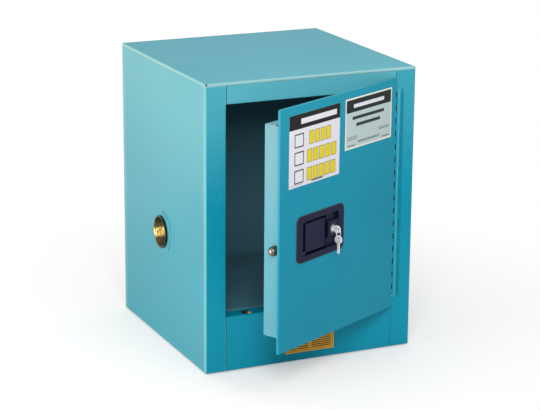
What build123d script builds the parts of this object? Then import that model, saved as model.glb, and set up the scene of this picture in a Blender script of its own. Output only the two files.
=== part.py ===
from build123d import *
import math
import os

# Countertop safety cabinet: a double walled steel box with one hinged door, drawn with the
# door ajar. Millimetres, +Z up, origin at the middle of the base on the surface it stands on,
# front towards -Y, hinge on the right (+X).

# Cabinet shell
WIDTH = 431.8
DEPTH = 431.8
HEIGHT = 558.8
SHEET = 1.2            # 18 gauge steel with its paint
BEND = 1.2             # inside radius of a bend
AIR_GAP = 36.9         # air space between outer sheet and liner
SKIRT_LIFT = 2.5       # lower edge of the shell above the surface
TOP_LIP = 4.8          # height of the top panel with its folded edge
TOP_FLANGE = 15.0      # flanges that carry the top panel
BACK_FLANGE = 15.0
EDGE_BREAK = 0.5       # chamfer along the seams
SEAM = 0.4             # open seam between stile, header and sill
TAB = 10.0             # lap of header and sill behind the stiles
TAB_ROOT = 2.0         # how far a tab reaches into its strip
TAB_END = 4.0          # tab ends short of the fold
CORNER_RELIEF = 1.6
SILL_TOP = 110.0
SILL_HEM = 12.0
JAMB_DEPTH = 33.0
BASE_HEIGHT = 8.0      # underside of the bottom panel
LINER_LAP = 6.0
SUMP_DEPTH = 50.8
SUMP_FIT = 0.3         # gap between sump pan and liner
RIM_DROP = 1.0         # sump rim below the sill

# Spacers in the air gap
SPACER_WIDTH = 25.0
SPACER_FROM_FRONT = 130.9
SPACER_FROM_BACK = 95.9
SPACER_FROM_SIDE = 125.9
SPACER_FOOT = 10.8     # lower end above the sump's floor
SPACER_HEAD = 18.3     # upper end below the top of the opening
SPACER_END = 65.9      # lying spacers stop short of front and back

# Levelling feet
FOOT_INSET = 24.0
FOOT_PAD_R = 15.0
FOOT_PAD_H = 5.0
FOOT_PAD_TOP_R = 1.5
FOOT_PAD_CHAMFER = 0.4
FOOT_STUD_R = 5.0
FOOT_STUD_TOP = 30.0
FOOT_NUT_FLATS = 17.0
FOOT_NUT_H = 8.0
RUN_CLEAR = 0.06       # radial clearance of turning fits
HOLE_CLEAR = 0.4       # radial clearance of plain holes

# Vents
VENT_FROM_FRONT = 218.9
VENT_RISE = 113.0      # above the sill
VENT_BORE_R = 32.0
VENT_WALL = 3.0
VENT_PLATE = 2.0       # octagonal plate on the outer sheet
VENT_PLATE_R = 43.5
VENT_PLATE_CHAMFER = 0.6
VENT_RING_R = 42.0
VENT_RING_T = 2.0
VENT_FIT = 0.05
ARRESTER_WALL = 3.0
ARRESTER_LENGTH = 31.0
ARRESTER_PROUD = 4.4    # the sleeve stands out of the plate
SCREEN_T = 1.5
SCREEN_SEAT = 0.6      # radial step that the screen is pressed into
SCREEN_HOLE_R = 1.7
SCREEN_PITCH = 5.5
SCREEN_RINGS = 4
BUNG_HEAD_R = 36.0
BUNG_HEAD_T = 6.0
BUNG_EDGE_R = 1.2
BUNG_SPIGOT = 12.0
BUNG_SQUARE = 13.0
BUNG_SOCKET = 9.0

# Ground screw
GROUND_FROM_BACK = 45.9
GROUND_RISE = 60.0     # above the surface the cabinet stands on
GROUND_R = 3.0
GROUND_OUT = 15.0
GROUND_HEAD_T = 4.0
GROUND_FLATS = 10.0
GROUND_NUT_T = 5.0
GROUND_WASHER_T = 1.0
GROUND_WASHER_R = 8.0
GROUND_TIP = 0.5
GROUND_RELIEF = 0.2    # the shank is this much thinner up to just past its nut
GROUND_RELIEF_END = 1.0

# Shelf and its supports
RAIL_FROM_BACK = 66.6  # from the liner's back wall
RAIL_SPACING = 220.0
RAIL_WIDTH = 16.0
RAIL_DEPTH = 6.0
RAIL_FOOT = 15.0       # lower end above the sill
RAIL_HEAD = 13.3       # upper end below the top of the opening
SLOT_PITCH = 28.6
SLOT_HEIGHT = 12.0
SLOT_WIDTH = 4.0
SHELF_DROP = 10.0      # top of the shelf below the sill
SHELF_EDGE = 18.0
SHELF_SIDE_GAP = 3.0
SHELF_FRONT_GAP = 30.0
SHELF_BACK_GAP = 10.0
BRACKET_T = 2.0
BRACKET_WIDTH = 24.0
BRACKET_LEDGE = 14.0

# Door, drawn closed and then turned about the hinge
DOOR_AJAR = 27.0       # degrees open in this drawing
HINGE_INSET = 1.4      # hinge axis from the jamb's face
HINGE_FORWARD = 3.5    # hinge axis in front of the frame
BARREL_R = 3.3
PIN_R = 1.6
PIN_HEAD_R = 2.4
PIN_HEAD_T = 2.2
PIN_END = 1.2
KNUCKLE = 12.7
KNUCKLE_GAP = 0.3
HINGE_DROP = 0.5       # lower end below the sill
LEAF_WIDTH = 24.0
LEAF_END = 2.5
LEAF_START = 0.2
LEAF_BITE = 1.2        # how far a leaf reaches into its knuckles
RIVET_R = 1.5
RIVET_HEAD_R = 2.6
RIVET_HEAD_T = 0.8
RIVET_TAIL = 2.0
RIVET_Y = 14.0
RIVET_COUNT = 6
RIVET_END = 20.0

DOOR_GAP = 5.8         # back of the front sheet in front of the frame
DOOR_LAP = 10.4        # lap over the left stile
DOOR_LAP_Z = 22.7      # lap over sill and header
DOOR_EDGE = 5.5        # depth of the folded edge
DOOR_BARREL_GAP = 0.5
KNUCKLE_NOTCH = 3.0    # notch in the door's edge beside each knuckle of the frame's leaf
DOOR_CORNER_R = 1.6
PAN_DEPTH = 40.0       # back of the pan behind the frame's front
PAN_SIDE_GAP = 3.4
PAN_LOW_GAP = 3.0
PAN_HIGH_GAP = 10.3
PAN_FLANGE_GAP = 0.2
PAN_EDGE_R = 2.0
RIB_WIDTH = 21.0
RIB_HEIGHT = 6.0
STIFFENER_INSET = 98.8 # from the hinge side of the pan
STIFFENER_WIDTH = 25.0
STIFFENER_END = 8.0

# Latch
LATCH_INSET = 106.2    # middle of the latch from the free side of the pan
LATCH_RISE = 180.5     # above the sill
BEZEL_W = 142.0
BEZEL_H = 88.0
BEZEL_T = 2.0
BEZEL_R = 12.0
BEZEL_EDGE = 0.9
RECESS_W = 108.0
RECESS_H = 64.2
RECESS_R = 3.0
CUP_WALL = 2.0
CUP_DEPTH = 21.0       # from the bezel's front to the back of the cup
CUP_CLEAR = 0.5
STEP_W = 31.2
STEP_DROP = 6.0
BOSS_H = 30.8
BOSS_DROP = 1.0
BOSS_EDGE_R = 0.8
PADDLE_W = 58.6
PADDLE_H = 55.0
PADDLE_GAP = 9.0
PADDLE_DROP = 1.0
PADDLE_D = 13.0
PADDLE_WALL = 3.0
PADDLE_EDGE = 1.2
PADDLE_CORNER_R = 2.0
PADDLE_PIN_R = 2.0
PADDLE_PIN_INSET = 7.5
PADDLE_PIN_DEPTH = 10.0
PADDLE_PIN_END = 1.0
HUB_R = 4.5
ARM_T = 5.0
ARM_W = 10.0
ARM_LENGTH = 20.0
ARM_RISE = 6.0         # above the bolt's axis
ARM_SLOT_SIDE = 17.0
ARM_SLOT_CLEAR = 2.0
SPRING_WIRE_R = 0.6
SPRING_PITCH = 1.9
SPRING_TURNS = 6
SPRING_CLEAR = 0.5

BOLT_R = 9.2
BOLT_OUT = 14.0
BOLT_IN = 22.0
BOLT_TRAVEL = 12.0
BOLT_DEPTH = 14.0      # bolt axis behind the frame's front
BOLT_DROP = 12.5       # bolt axis below the middle of the latch
BOLT_BEVEL = 35.0
BOLT_HOLE_CLEAR = 0.5
GUIDE_SIZE = 28.0
GUIDE_LENGTH = 24.8
GUIDE_STOP_T = 2.0
TAIL_T = 4.0
TAIL_NECK = 9.0
TAIL_LOW = 10.0        # strap below and above the bolt's axis
TAIL_HIGH = 16.0
TAIL_WALL = 8.0        # strap beyond both ends of its window
WINDOW_GAP = 1.0
WINDOW_BACK = 6.5
BOLT_SPRING_R = 7.6
BOLT_SPRING_PITCH = 2.0
BOLT_SPRING_TURNS = 3
BOLT_SPRING_GAP = 0.5
STRIKE_T = 1.6
STRIKE_HOLE_CLEAR = 1.0
STRIKE_H = 44.0
STRIKE_W = 23.0

LOCK_INSET = 18.2      # lock axis from the right side of the recess
LOCK_RISE = 1.5        # above the middle of the latch
LOCK_FACE_R = 10.5
LOCK_FACE_T = 1.5
LOCK_BODY_R = 9.4
LOCK_PROUD = 5.0       # barrel beyond its nut
LOCK_NUT_FLATS = 24.0
LOCK_NUT_T = 5.0
PLUG_R = 6.0
PLUG_TAIL = 7.0
CAM_T = 3.0
CAM_LENGTH = 28.0
CAM_WIDTH = 12.0
CAM_GAP = 0.3
KEYWAY_W = 2.4
KEYWAY_H = 8.0
KEY_T = 2.0
KEY_BLADE_W = 7.4
KEY_BLADE_IN = 22.0
KEY_BOW_R = 9.0
KEY_BOW_OUT = 10.0
KEY_HOLE_R = 2.2
KEY_HOLE_OFFSET = 3.0
KEY_LENGTH = 22.0
RING_R = 6.5
RING_WIRE_R = 0.6
RING_SAG = 1.2
SPARE_HOLE_OFFSET = 4.0

CLAMP_T = 1.5
CLAMP_MARGIN = 12.0
CLAMP_GAP = 0.3
POST_R = 4.0
POST_SIDE = 9.0        # post axis from the bezel's sides
POST_END = 5.5         # post axis from the bezel's upper and lower edges
POST_CLEAR = 0.3
SCREW_R = 1.9
SCREW_FIT = 0.05
SCREW_HEAD_R = 3.8
SCREW_HEAD_T = 2.2
SCREW_LENGTH = 6.0

# Labels, bare
LABEL_T = 0.3
WHITE_LABEL = (150.0, 133.0)
WHITE_LABEL_INSET = 24.8    # from the door's free edge
WHITE_LABEL_DROP = 82.5     # middle of the label below the door's upper edge
GREY_LABEL_H = 96.0
GREY_LABEL_GAP = 17.0       # from the white label
GREY_LABEL_MARGIN = 17.2    # from the hinge side of the door
GREY_LABEL_DROP = 62.0
SILL_LABEL = (102.0, 54.0)
SILL_LABEL_X = 0.5
SILL_LABEL_DROP = 65.0      # middle of the label below the sill
RIM_LABEL = (18.0, 19.0)
RIM_LABEL_INSET = 46.4      # from the left jamb
RIM_LABEL_BACK = 12.5

# Places that follow from the sizes above
SIDE = WIDTH / 2
FRONT = -DEPTH / 2
BACK = DEPTH / 2
STILE = AIR_GAP + 3 * SHEET
JAMB_X = SIDE - STILE
OPENING_TOP = HEIGHT - STILE
JAMB_BACK = FRONT + JAMB_DEPTH
LIP_BOTTOM = HEIGHT - TOP_LIP
LINER_IN = JAMB_X + SHEET
LINER_OUT = LINER_IN + SHEET
LINER_BACK = BACK - 2 * SHEET - AIR_GAP
LINER_FRONT = JAMB_BACK - LINER_LAP
SUMP_FLOOR = SILL_TOP - SUMP_DEPTH
SUMP_UNDER = SUMP_FLOOR - SHEET
SUMP_HALF = LINER_IN - SUMP_FIT
SUMP_RIM = SILL_TOP - RIM_DROP
BASE_TOP = BASE_HEIGHT + SHEET
SPACER_Y = (FRONT + SPACER_FROM_FRONT, BACK - SPACER_FROM_BACK)
SPACER_X = (-SIDE + SPACER_FROM_SIDE, SIDE - SPACER_FROM_SIDE)
SPACER_LOW = SUMP_FLOOR + SPACER_FOOT
SPACER_HIGH = OPENING_TOP - SPACER_HEAD
SPACER_LENGTH = DEPTH - 2 * SPACER_END
VENT_Y = FRONT + VENT_FROM_FRONT
VENT_Z = SILL_TOP + VENT_RISE
GROUND_Y = BACK - GROUND_FROM_BACK
GROUND_Z = GROUND_RISE
RAIL_Y = (LINER_BACK - RAIL_FROM_BACK - RAIL_SPACING, LINER_BACK - RAIL_FROM_BACK)
RAIL_LOW = SILL_TOP + RAIL_FOOT
RAIL_HIGH = OPENING_TOP - RAIL_HEAD
SHELF_TOP = SILL_TOP - SHELF_DROP
HINGE_X = JAMB_X - HINGE_INSET
HINGE_Y = FRONT - HINGE_FORWARD
HINGE_BOTTOM = SILL_TOP - HINGE_DROP
KNUCKLE_COUNT = 2 * int((OPENING_TOP - HINGE_BOTTOM) / (2 * KNUCKLE))
HINGE_TOP = HINGE_BOTTOM + KNUCKLE * KNUCKLE_COUNT
DOOR_BACK_FACE = FRONT - DOOR_GAP
DOOR_FACE = DOOR_BACK_FACE - SHEET
DOOR_LEFT = -JAMB_X - DOOR_LAP
DOOR_RIGHT = HINGE_X - BARREL_R - DOOR_BARREL_GAP
DOOR_LOW = SILL_TOP - DOOR_LAP_Z
DOOR_HIGH = OPENING_TOP + DOOR_LAP_Z
PAN_LEFT = -JAMB_X + PAN_SIDE_GAP
PAN_RIGHT = DOOR_RIGHT - SHEET - PAN_FLANGE_GAP
PAN_LOW = SILL_TOP + PAN_LOW_GAP
PAN_HIGH = OPENING_TOP - PAN_HIGH_GAP
PAN_BACK = FRONT + PAN_DEPTH
STIFFENER_X = PAN_RIGHT - STIFFENER_INSET
LATCH_X = PAN_LEFT + LATCH_INSET
LATCH_Z = SILL_TOP + LATCH_RISE
BEZEL_FACE = DOOR_FACE - BEZEL_T
CUP_BACK = BEZEL_FACE + CUP_DEPTH
CUP_FLOOR = CUP_BACK - CUP_WALL
RECESS_LEFT = LATCH_X - RECESS_W / 2
RECESS_RIGHT = LATCH_X + RECESS_W / 2
PADDLE_LEFT = RECESS_LEFT + PADDLE_GAP
PIVOT_X = PADDLE_LEFT + PADDLE_PIN_INSET
PIVOT_Y = BEZEL_FACE + PADDLE_PIN_DEPTH
BOLT_Y = FRONT + BOLT_DEPTH
BOLT_Z = LATCH_Z - BOLT_DROP
BOLT_END = PAN_LEFT + BOLT_IN
TAIL_Y = BOLT_Y
ARM_Z = BOLT_Z + ARM_RISE
WINDOW_LEFT = PIVOT_X - ARM_T / 2 - WINDOW_BACK
WINDOW_RIGHT = PIVOT_X + ARM_T / 2 + WINDOW_GAP
POST_X = BEZEL_W / 2 - POST_SIDE
POST_Z = BEZEL_H / 2 - POST_END
LOCK_X = RECESS_RIGHT - LOCK_INSET
LOCK_Z = LATCH_Z + LOCK_RISE
LOCK_FACE = BEZEL_FACE + BOSS_DROP - LOCK_FACE_T
LOCK_BACK = CUP_BACK + LOCK_NUT_T + LOCK_PROUD
BOW_Y = LOCK_FACE - KEY_BOW_OUT
KEY_HOLE_Y = BOW_Y - KEY_HOLE_OFFSET
RING_TOP = LOCK_Z - RING_SAG
ARRESTER_R = VENT_BORE_R - ARRESTER_WALL


def block(x0, x1, y0, y1, z0, z1):
    """A box between two corners."""
    size = Box(x1 - x0, y1 - y0, z1 - z0)
    return Pos((x0 + x1) / 2, (y0 + y1) / 2, (z0 + z1) / 2) * size


def rod(axis, centre, radius, start, end):
    """A round bar along X, Y or Z; centre gives the two other coordinates."""
    bar = Cylinder(radius, end - start)
    middle = (start + end) / 2
    if axis == "X":
        return Pos(middle, *centre) * Rot(0, 90, 0) * bar
    if axis == "Y":
        return Pos(centre[0], middle, centre[1]) * Rot(90, 0, 0) * bar
    return Pos(centre[0], centre[1], middle) * bar


def hex_bar(axis, centre, flats, start, end):
    """A hexagonal bar, measured across its flats."""
    bar = extrude(RegularPolygon(flats / 2, 6, major_radius=False), end - start)
    if axis == "X":
        return Pos(start, *centre) * Rot(0, 90, 0) * bar
    if axis == "Y":
        return Pos(centre[0], start, centre[1]) * Rot(-90, 0, 0) * bar
    return Pos(centre[0], centre[1], start) * bar


def folded(plane, points, start, end):
    """Sheet metal folded along a path of points, pulled from start to end along the plane's normal."""
    path = FilletPolyline(*points, radius=BEND + SHEET / 2)
    section = trace(path, line_width=SHEET)
    return extrude(plane.offset(start) * section, end - start)


def front_plane():
    """A plane seen along +X, with local x along +Y and local y along +Z."""
    return Plane(origin=(0, 0, 0), x_dir=(0, 1, 0), z_dir=(1, 0, 0))


def mirrored(shape):
    """The same piece on the other side of the cabinet."""
    return mirror(shape, about=Plane.YZ)


def side_panel_right():
    """Outer wall, front stile and door jamb in one folded sheet."""
    half = SHEET / 2
    back_run = (SIDE - BACK_FLANGE, BACK - SHEET - half)
    back_corner = (SIDE - half, BACK - SHEET - half)
    front_corner = (SIDE - half, FRONT + half)
    stile_end = (JAMB_X, FRONT + half)
    jamb_corner = (JAMB_X + half, FRONT + half)
    jamb_end = (JAMB_X + half, JAMB_BACK)
    plain = [back_run, back_corner, front_corner, stile_end]
    with_jamb = [back_run, back_corner, front_corner, jamb_corner, jamb_end]
    panel = folded(Plane.XY, plain, SKIRT_LIFT, SILL_TOP)
    panel += folded(Plane.XY, with_jamb, SILL_TOP, OPENING_TOP)
    panel += folded(Plane.XY, plain, OPENING_TOP, LIP_BOTTOM)
    panel += block(SIDE - TOP_FLANGE, SIDE - half, FRONT + SHEET, BACK - 2 * SHEET,
                   LIP_BOTTOM - SHEET, LIP_BOTTOM)
    top_edge = panel.edges().filter_by(Axis.Y).filter_by_position(
        Axis.X, SIDE - 0.01, SIDE + 0.01).group_by(Axis.Z)[-1]
    panel = chamfer(top_edge, EDGE_BREAK)
    panel -= rod("X", (VENT_Y, VENT_Z), VENT_BORE_R + VENT_WALL + VENT_FIT, SIDE - 5, SIDE + 5)
    return panel


def side_panel_with_ground_hole():
    """The hinge side, pierced for the ground screw and the hinge rivets."""
    panel = side_panel_right()
    panel -= rod("X", (GROUND_Y, GROUND_Z), GROUND_R + HOLE_CLEAR, SIDE - 5, SIDE + 5)
    for z in rivet_heights():
        panel -= rod("X", (FRONT + RIVET_Y, z), RIVET_R + VENT_FIT, JAMB_X - 1, LINER_OUT + 1)
    return panel


def side_panel_with_strike_hole():
    """The latch side, with the hole that the bolt enters."""
    panel = mirrored(side_panel_right())
    panel -= rod("X", (BOLT_Y, BOLT_Z), BOLT_R + STRIKE_HOLE_CLEAR, -LINER_OUT, -JAMB_X + 1)
    return panel


def front_strip(points, tab_low, tab_high):
    """Header or sill: a folded strip between the stiles, with tabs that lap behind them."""
    half = JAMB_X - SEAM
    strip = folded(front_plane(), points, -half, half)
    tab = block(half - TAB_ROOT, JAMB_X + TAB, FRONT + SHEET, FRONT + 2 * SHEET, tab_low, tab_high)
    return strip + tab + mirrored(tab)


def front_header():
    half = SHEET / 2
    points = [
        (FRONT + TOP_FLANGE, LIP_BOTTOM - half),
        (FRONT + half, LIP_BOTTOM - half),
        (FRONT + half, OPENING_TOP + half),
        (JAMB_BACK, OPENING_TOP + half),
    ]
    return front_strip(points, OPENING_TOP + TAB_END, LIP_BOTTOM - TAB_END)


def front_sill():
    half = SHEET / 2
    points = [
        (JAMB_BACK - half, SILL_TOP - SILL_HEM),
        (JAMB_BACK - half, SILL_TOP - half),
        (FRONT + half, SILL_TOP - half),
        (FRONT + half, SKIRT_LIFT),
    ]
    return front_strip(points, BASE_TOP + TAB_END, SILL_TOP - TAB_END)


def top_panel():
    """Flat sheet with its four edges folded down, and a small relief where the folds meet."""
    panel = block(-SIDE, SIDE, FRONT, BACK, LIP_BOTTOM, HEIGHT)
    panel -= block(-SIDE + SHEET, SIDE - SHEET, FRONT + SHEET, BACK - SHEET, LIP_BOTTOM, HEIGHT - SHEET)
    rims = panel.edges().group_by(Axis.Z)[-1]
    panel = fillet(rims, BEND + SHEET / 2)
    for x in (-SIDE, SIDE):
        for y in (FRONT, BACK):
            panel -= rod("Z", (x, y), CORNER_RELIEF, LIP_BOTTOM - 1, HEIGHT - 2 * SHEET)
    return panel


def back_panel():
    panel = block(-SIDE, SIDE, BACK - SHEET, BACK, SKIRT_LIFT, LIP_BOTTOM)
    return chamfer(panel.edges().group_by(Axis.Y)[-1], EDGE_BREAK)


def bottom_panel():
    """A shallow tray, open downwards, that carries the feet."""
    half = SIDE - SHEET
    panel = block(-half, half, FRONT + SHEET, BACK - 2 * SHEET, SKIRT_LIFT, BASE_TOP)
    panel = fillet(panel.edges().filter_by(Axis.Z), BEND + SHEET)
    panel -= block(-half + SHEET, half - SHEET, FRONT + 2 * SHEET, BACK - 3 * SHEET,
                   SKIRT_LIFT, BASE_HEIGHT)
    for x, y in foot_places():
        panel -= rod("Z", (x, y), FOOT_STUD_R + HOLE_CLEAR, 0, BASE_TOP + 1)
    return panel


def foot_places():
    x = SIDE - FOOT_INSET
    y = BACK - FOOT_INSET
    return [(-x, -y), (x, -y), (-x, y), (x, y)]


def levelling_foot(x, y):
    """A threaded stud on a round pad."""
    pad = rod("Z", (x, y), FOOT_PAD_R, 0, FOOT_PAD_H)
    pad = fillet(pad.edges().group_by(Axis.Z)[-1], FOOT_PAD_TOP_R)
    pad = chamfer(pad.edges().group_by(Axis.Z)[0], FOOT_PAD_CHAMFER)
    return pad + rod("Z", (x, y), FOOT_STUD_R, FOOT_PAD_H, FOOT_STUD_TOP)


def foot_nuts():
    """Weld nuts on the bottom panel, one over each foot."""
    nuts = []
    for x, y in foot_places():
        nut = hex_bar("Z", (x, y), FOOT_NUT_FLATS, BASE_TOP, BASE_TOP + FOOT_NUT_H)
        nut -= rod("Z", (x, y), FOOT_STUD_R + RUN_CLEAR, BASE_TOP - 1, BASE_TOP + FOOT_NUT_H + 1)
        nuts.append(nut)
    return nuts


def liner_shell():
    """Left, back and right inner walls, folded from one sheet."""
    x = LINER_IN + SHEET / 2
    y = LINER_BACK + SHEET / 2
    points = [(-x, LINER_FRONT), (-x, y), (x, y), (x, LINER_FRONT)]
    liner = folded(Plane.XY, points, SUMP_UNDER, OPENING_TOP + SHEET)
    collar = VENT_BORE_R + VENT_WALL + VENT_FIT
    return liner - rod("X", (VENT_Y, VENT_Z), collar, -LINER_OUT - 2, LINER_OUT + 2)


def liner_top():
    low = OPENING_TOP + SHEET
    return block(-LINER_OUT, LINER_OUT, LINER_FRONT, LINER_BACK + SHEET, low, low + SHEET)


def sump_pan():
    """Liquid tight tray in the bottom of the liner."""
    back = LINER_BACK - SUMP_FIT
    pan = block(-SUMP_HALF, SUMP_HALF, JAMB_BACK, back, SUMP_UNDER, SUMP_RIM)
    pan = fillet(pan.edges().filter_by(Axis.Z), BEND + SHEET)
    pan = fillet(pan.edges().group_by(Axis.Z)[0], BEND)
    inner = SUMP_HALF - SHEET
    return pan - block(-inner, inner, JAMB_BACK + SHEET, back - SHEET, SUMP_FLOOR, SUMP_RIM)


def channel(height, length):
    """A C channel along Z: webs at local y = 0 and y = height."""
    half = SPACER_WIDTH / 2
    low = SHEET / 2
    high = height - SHEET / 2
    points = [(half, low), (-half, low), (-half, high), (half, high)]
    return folded(Plane.XY, points, 0, length)


def wall_spacers():
    """Channels that hold liner and outer sheet apart: sides, back, top and floor."""
    pieces = []
    side_length = SPACER_HIGH - SPACER_LOW
    for y in SPACER_Y:
        right = Pos(LINER_OUT, y, SPACER_LOW) * Rot(0, 0, -90) * channel(AIR_GAP, side_length)
        pieces += [right, mirrored(right)]
    low_gap = SUMP_UNDER - BASE_TOP
    for x in SPACER_X:
        pieces.append(Pos(x, LINER_BACK + SHEET, SPACER_LOW) * channel(AIR_GAP, side_length))
        lying = Rot(90, 0, 0)
        y_end = SPACER_LENGTH / 2
        pieces.append(Pos(x, y_end, OPENING_TOP + 2 * SHEET) * lying * channel(AIR_GAP, SPACER_LENGTH))
        pieces.append(Pos(x, y_end, BASE_TOP) * lying * channel(low_gap, SPACER_LENGTH))
    return pieces


def octagon(radius, start, end):
    """An eight sided plate square to X, corners up and down."""
    plate = extrude(RegularPolygon(radius, 8), end - start)
    return Pos(start, VENT_Y, VENT_Z) * Rot(0, 90, 0) * plate


def vent_collar():
    """Tube through both walls with an octagonal plate on the outer sheet (right side)."""
    plate = octagon(VENT_PLATE_R, SIDE, SIDE + VENT_PLATE)
    plate = chamfer(plate.faces().sort_by(Axis.X)[-1].edges(), VENT_PLATE_CHAMFER)
    inner = LINER_IN - VENT_RING_T
    collar = plate + rod("X", (VENT_Y, VENT_Z), VENT_BORE_R + VENT_WALL, inner, SIDE + VENT_PLATE / 2)
    return collar - rod("X", (VENT_Y, VENT_Z), VENT_BORE_R, inner - 1, SIDE + VENT_PLATE + 1)


def vent_ring():
    """Ring welded round the collar on the liner (right side)."""
    inner = LINER_IN - VENT_RING_T
    ring = rod("X", (VENT_Y, VENT_Z), VENT_RING_R, inner, LINER_IN)
    return ring - rod("X", (VENT_Y, VENT_Z), VENT_BORE_R + VENT_WALL + VENT_FIT, inner - 1, LINER_IN + 1)


def flame_arrester():
    """Brass sleeve screwed into the collar (right side)."""
    outer = SIDE + VENT_PLATE + ARRESTER_PROUD
    inner = outer - ARRESTER_LENGTH
    sleeve = rod("X", (VENT_Y, VENT_Z), VENT_BORE_R - VENT_FIT, inner, outer)
    sleeve -= rod("X", (VENT_Y, VENT_Z), ARRESTER_R, inner + SCREEN_T + SHEET, outer + 1)
    sleeve -= rod("X", (VENT_Y, VENT_Z), ARRESTER_R + SCREEN_SEAT, inner - 1, inner + SCREEN_T)
    return sleeve - rod("X", (VENT_Y, VENT_Z), ARRESTER_R - SHEET, inner - 1, outer + 1)


def flame_screen():
    """Pierced brass disc at the inner end of the sleeve (right side)."""
    inner = SIDE + VENT_PLATE + ARRESTER_PROUD - ARRESTER_LENGTH
    disc = rod("X", (VENT_Y, VENT_Z), ARRESTER_R + SCREEN_SEAT - VENT_FIT, inner, inner + SCREEN_T)
    for ring in range(1, SCREEN_RINGS + 1):
        count = 6 * ring
        for step in range(count):
            angle = 2 * math.pi * step / count
            y = VENT_Y + SCREEN_PITCH * ring * math.cos(angle)
            z = VENT_Z + SCREEN_PITCH * ring * math.sin(angle)
            disc -= rod("X", (y, z), SCREEN_HOLE_R, inner - 1, inner + SCREEN_T + 1)
    return disc


def vent_bung():
    """Plug that closes the right vent, with a square socket for a wrench."""
    face = SIDE + VENT_PLATE + ARRESTER_PROUD
    head = octagon(BUNG_HEAD_R, face, face + BUNG_HEAD_T)
    head = fillet(head.faces().sort_by(Axis.X)[-1].edges(), BUNG_EDGE_R)
    bung = head + rod("X", (VENT_Y, VENT_Z), ARRESTER_R - RUN_CLEAR, face - BUNG_SPIGOT, face + 1)
    half = BUNG_SQUARE / 2
    top = face + BUNG_HEAD_T
    return bung - block(top - BUNG_SOCKET, top + 1, VENT_Y - half, VENT_Y + half,
                        VENT_Z - half, VENT_Z + half)


def ground_stud():
    """Brass bolt through the side panel, head in the air gap, full thread beyond its nut."""
    centre = (GROUND_Y, GROUND_Z)
    inside = SIDE - SHEET
    head = hex_bar("X", centre, GROUND_FLATS, inside - GROUND_HEAD_T, inside)
    relief_end = SIDE + GROUND_WASHER_T + GROUND_NUT_T + GROUND_RELIEF_END
    shank = rod("X", centre, GROUND_R - GROUND_RELIEF, inside - GROUND_HEAD_T / 2, relief_end + 1)
    thread = rod("X", centre, GROUND_R, relief_end, SIDE + GROUND_OUT)
    return head + shank + chamfer(thread.faces().sort_by(Axis.X)[-1].edges(), GROUND_TIP)


def ground_nut():
    centre = (GROUND_Y, GROUND_Z)
    nut_start = SIDE + GROUND_WASHER_T
    nut = rod("X", centre, GROUND_WASHER_R, SIDE, nut_start)
    nut += hex_bar("X", centre, GROUND_FLATS, nut_start, nut_start + GROUND_NUT_T)
    return nut - rod("X", centre, GROUND_R - GROUND_RELIEF + VENT_FIT, SIDE - 1, SIDE + GROUND_OUT)


def shelf_rail(y):
    """Slotted channel on the right liner wall."""
    half = RAIL_WIDTH / 2
    rail = block(LINER_IN - RAIL_DEPTH, LINER_IN, y - half, y + half, RAIL_LOW, RAIL_HIGH)
    rail -= block(LINER_IN - RAIL_DEPTH + SHEET, LINER_IN + 1, y - half + SHEET, y + half - SHEET,
                  RAIL_LOW - 1, RAIL_HIGH + 1)
    count = int((RAIL_HIGH - RAIL_LOW - SLOT_HEIGHT) / SLOT_PITCH)
    for step in range(count):
        z = RAIL_LOW + SLOT_HEIGHT + step * SLOT_PITCH
        face = LINER_IN - RAIL_DEPTH
        rail -= block(face - 1, face + 2, y - SLOT_WIDTH / 2, y + SLOT_WIDTH / 2, z, z + SLOT_HEIGHT)
    return rail


def shelf_rails():
    right = [shelf_rail(y) for y in RAIL_Y]
    return right + [mirrored(rail) for rail in right]


def shelf_bracket(y):
    """Clip that hangs on the sump rim and carries a corner of the shelf."""
    wall = SUMP_HALF - SHEET
    ledge = SHELF_TOP - SHELF_EDGE
    y0 = y - BRACKET_WIDTH / 2
    y1 = y + BRACKET_WIDTH / 2
    clip = block(wall - BRACKET_T, wall, y0, y1, ledge - BRACKET_T, SUMP_RIM + BRACKET_T)
    clip += block(wall - BRACKET_T, SUMP_HALF, y0, y1, SUMP_RIM, SUMP_RIM + BRACKET_T)
    clip += block(wall - BRACKET_LEDGE, wall, y0, y1, ledge - BRACKET_T, ledge)
    return clip


def shelf_brackets():
    right = [shelf_bracket(y) for y in RAIL_Y]
    return right + [mirrored(clip) for clip in right]


def shelf():
    """Pressed tray, open downwards."""
    half = SUMP_HALF - SHEET - BRACKET_T - SHELF_SIDE_GAP
    front = JAMB_BACK + SHEET + SHELF_FRONT_GAP
    back = LINER_BACK - SHELF_BACK_GAP
    low = SHELF_TOP - SHELF_EDGE
    tray = block(-half, half, front, back, low, SHELF_TOP)
    tray = fillet(tray.edges().group_by(Axis.Z)[-1], BEND + SHEET)
    return tray - block(-half + SHEET, half - SHEET, front + SHEET, back - SHEET, low, SHELF_TOP - SHEET)


def knuckle_span(index):
    low = HINGE_BOTTOM + index * KNUCKLE + KNUCKLE_GAP / 2
    return low, low + KNUCKLE - KNUCKLE_GAP


def rivet_heights():
    low = HINGE_BOTTOM + RIVET_END
    step = (HINGE_TOP - HINGE_BOTTOM - 2 * RIVET_END) / (RIVET_COUNT - 1)
    return [low + step * i for i in range(RIVET_COUNT)]


def knuckle(index):
    low, high = knuckle_span(index)
    tube = rod("Z", (HINGE_X, HINGE_Y), BARREL_R, low, high)
    return tube - rod("Z", (HINGE_X, HINGE_Y), PIN_R + RUN_CLEAR, low - 1, high + 1)


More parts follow.
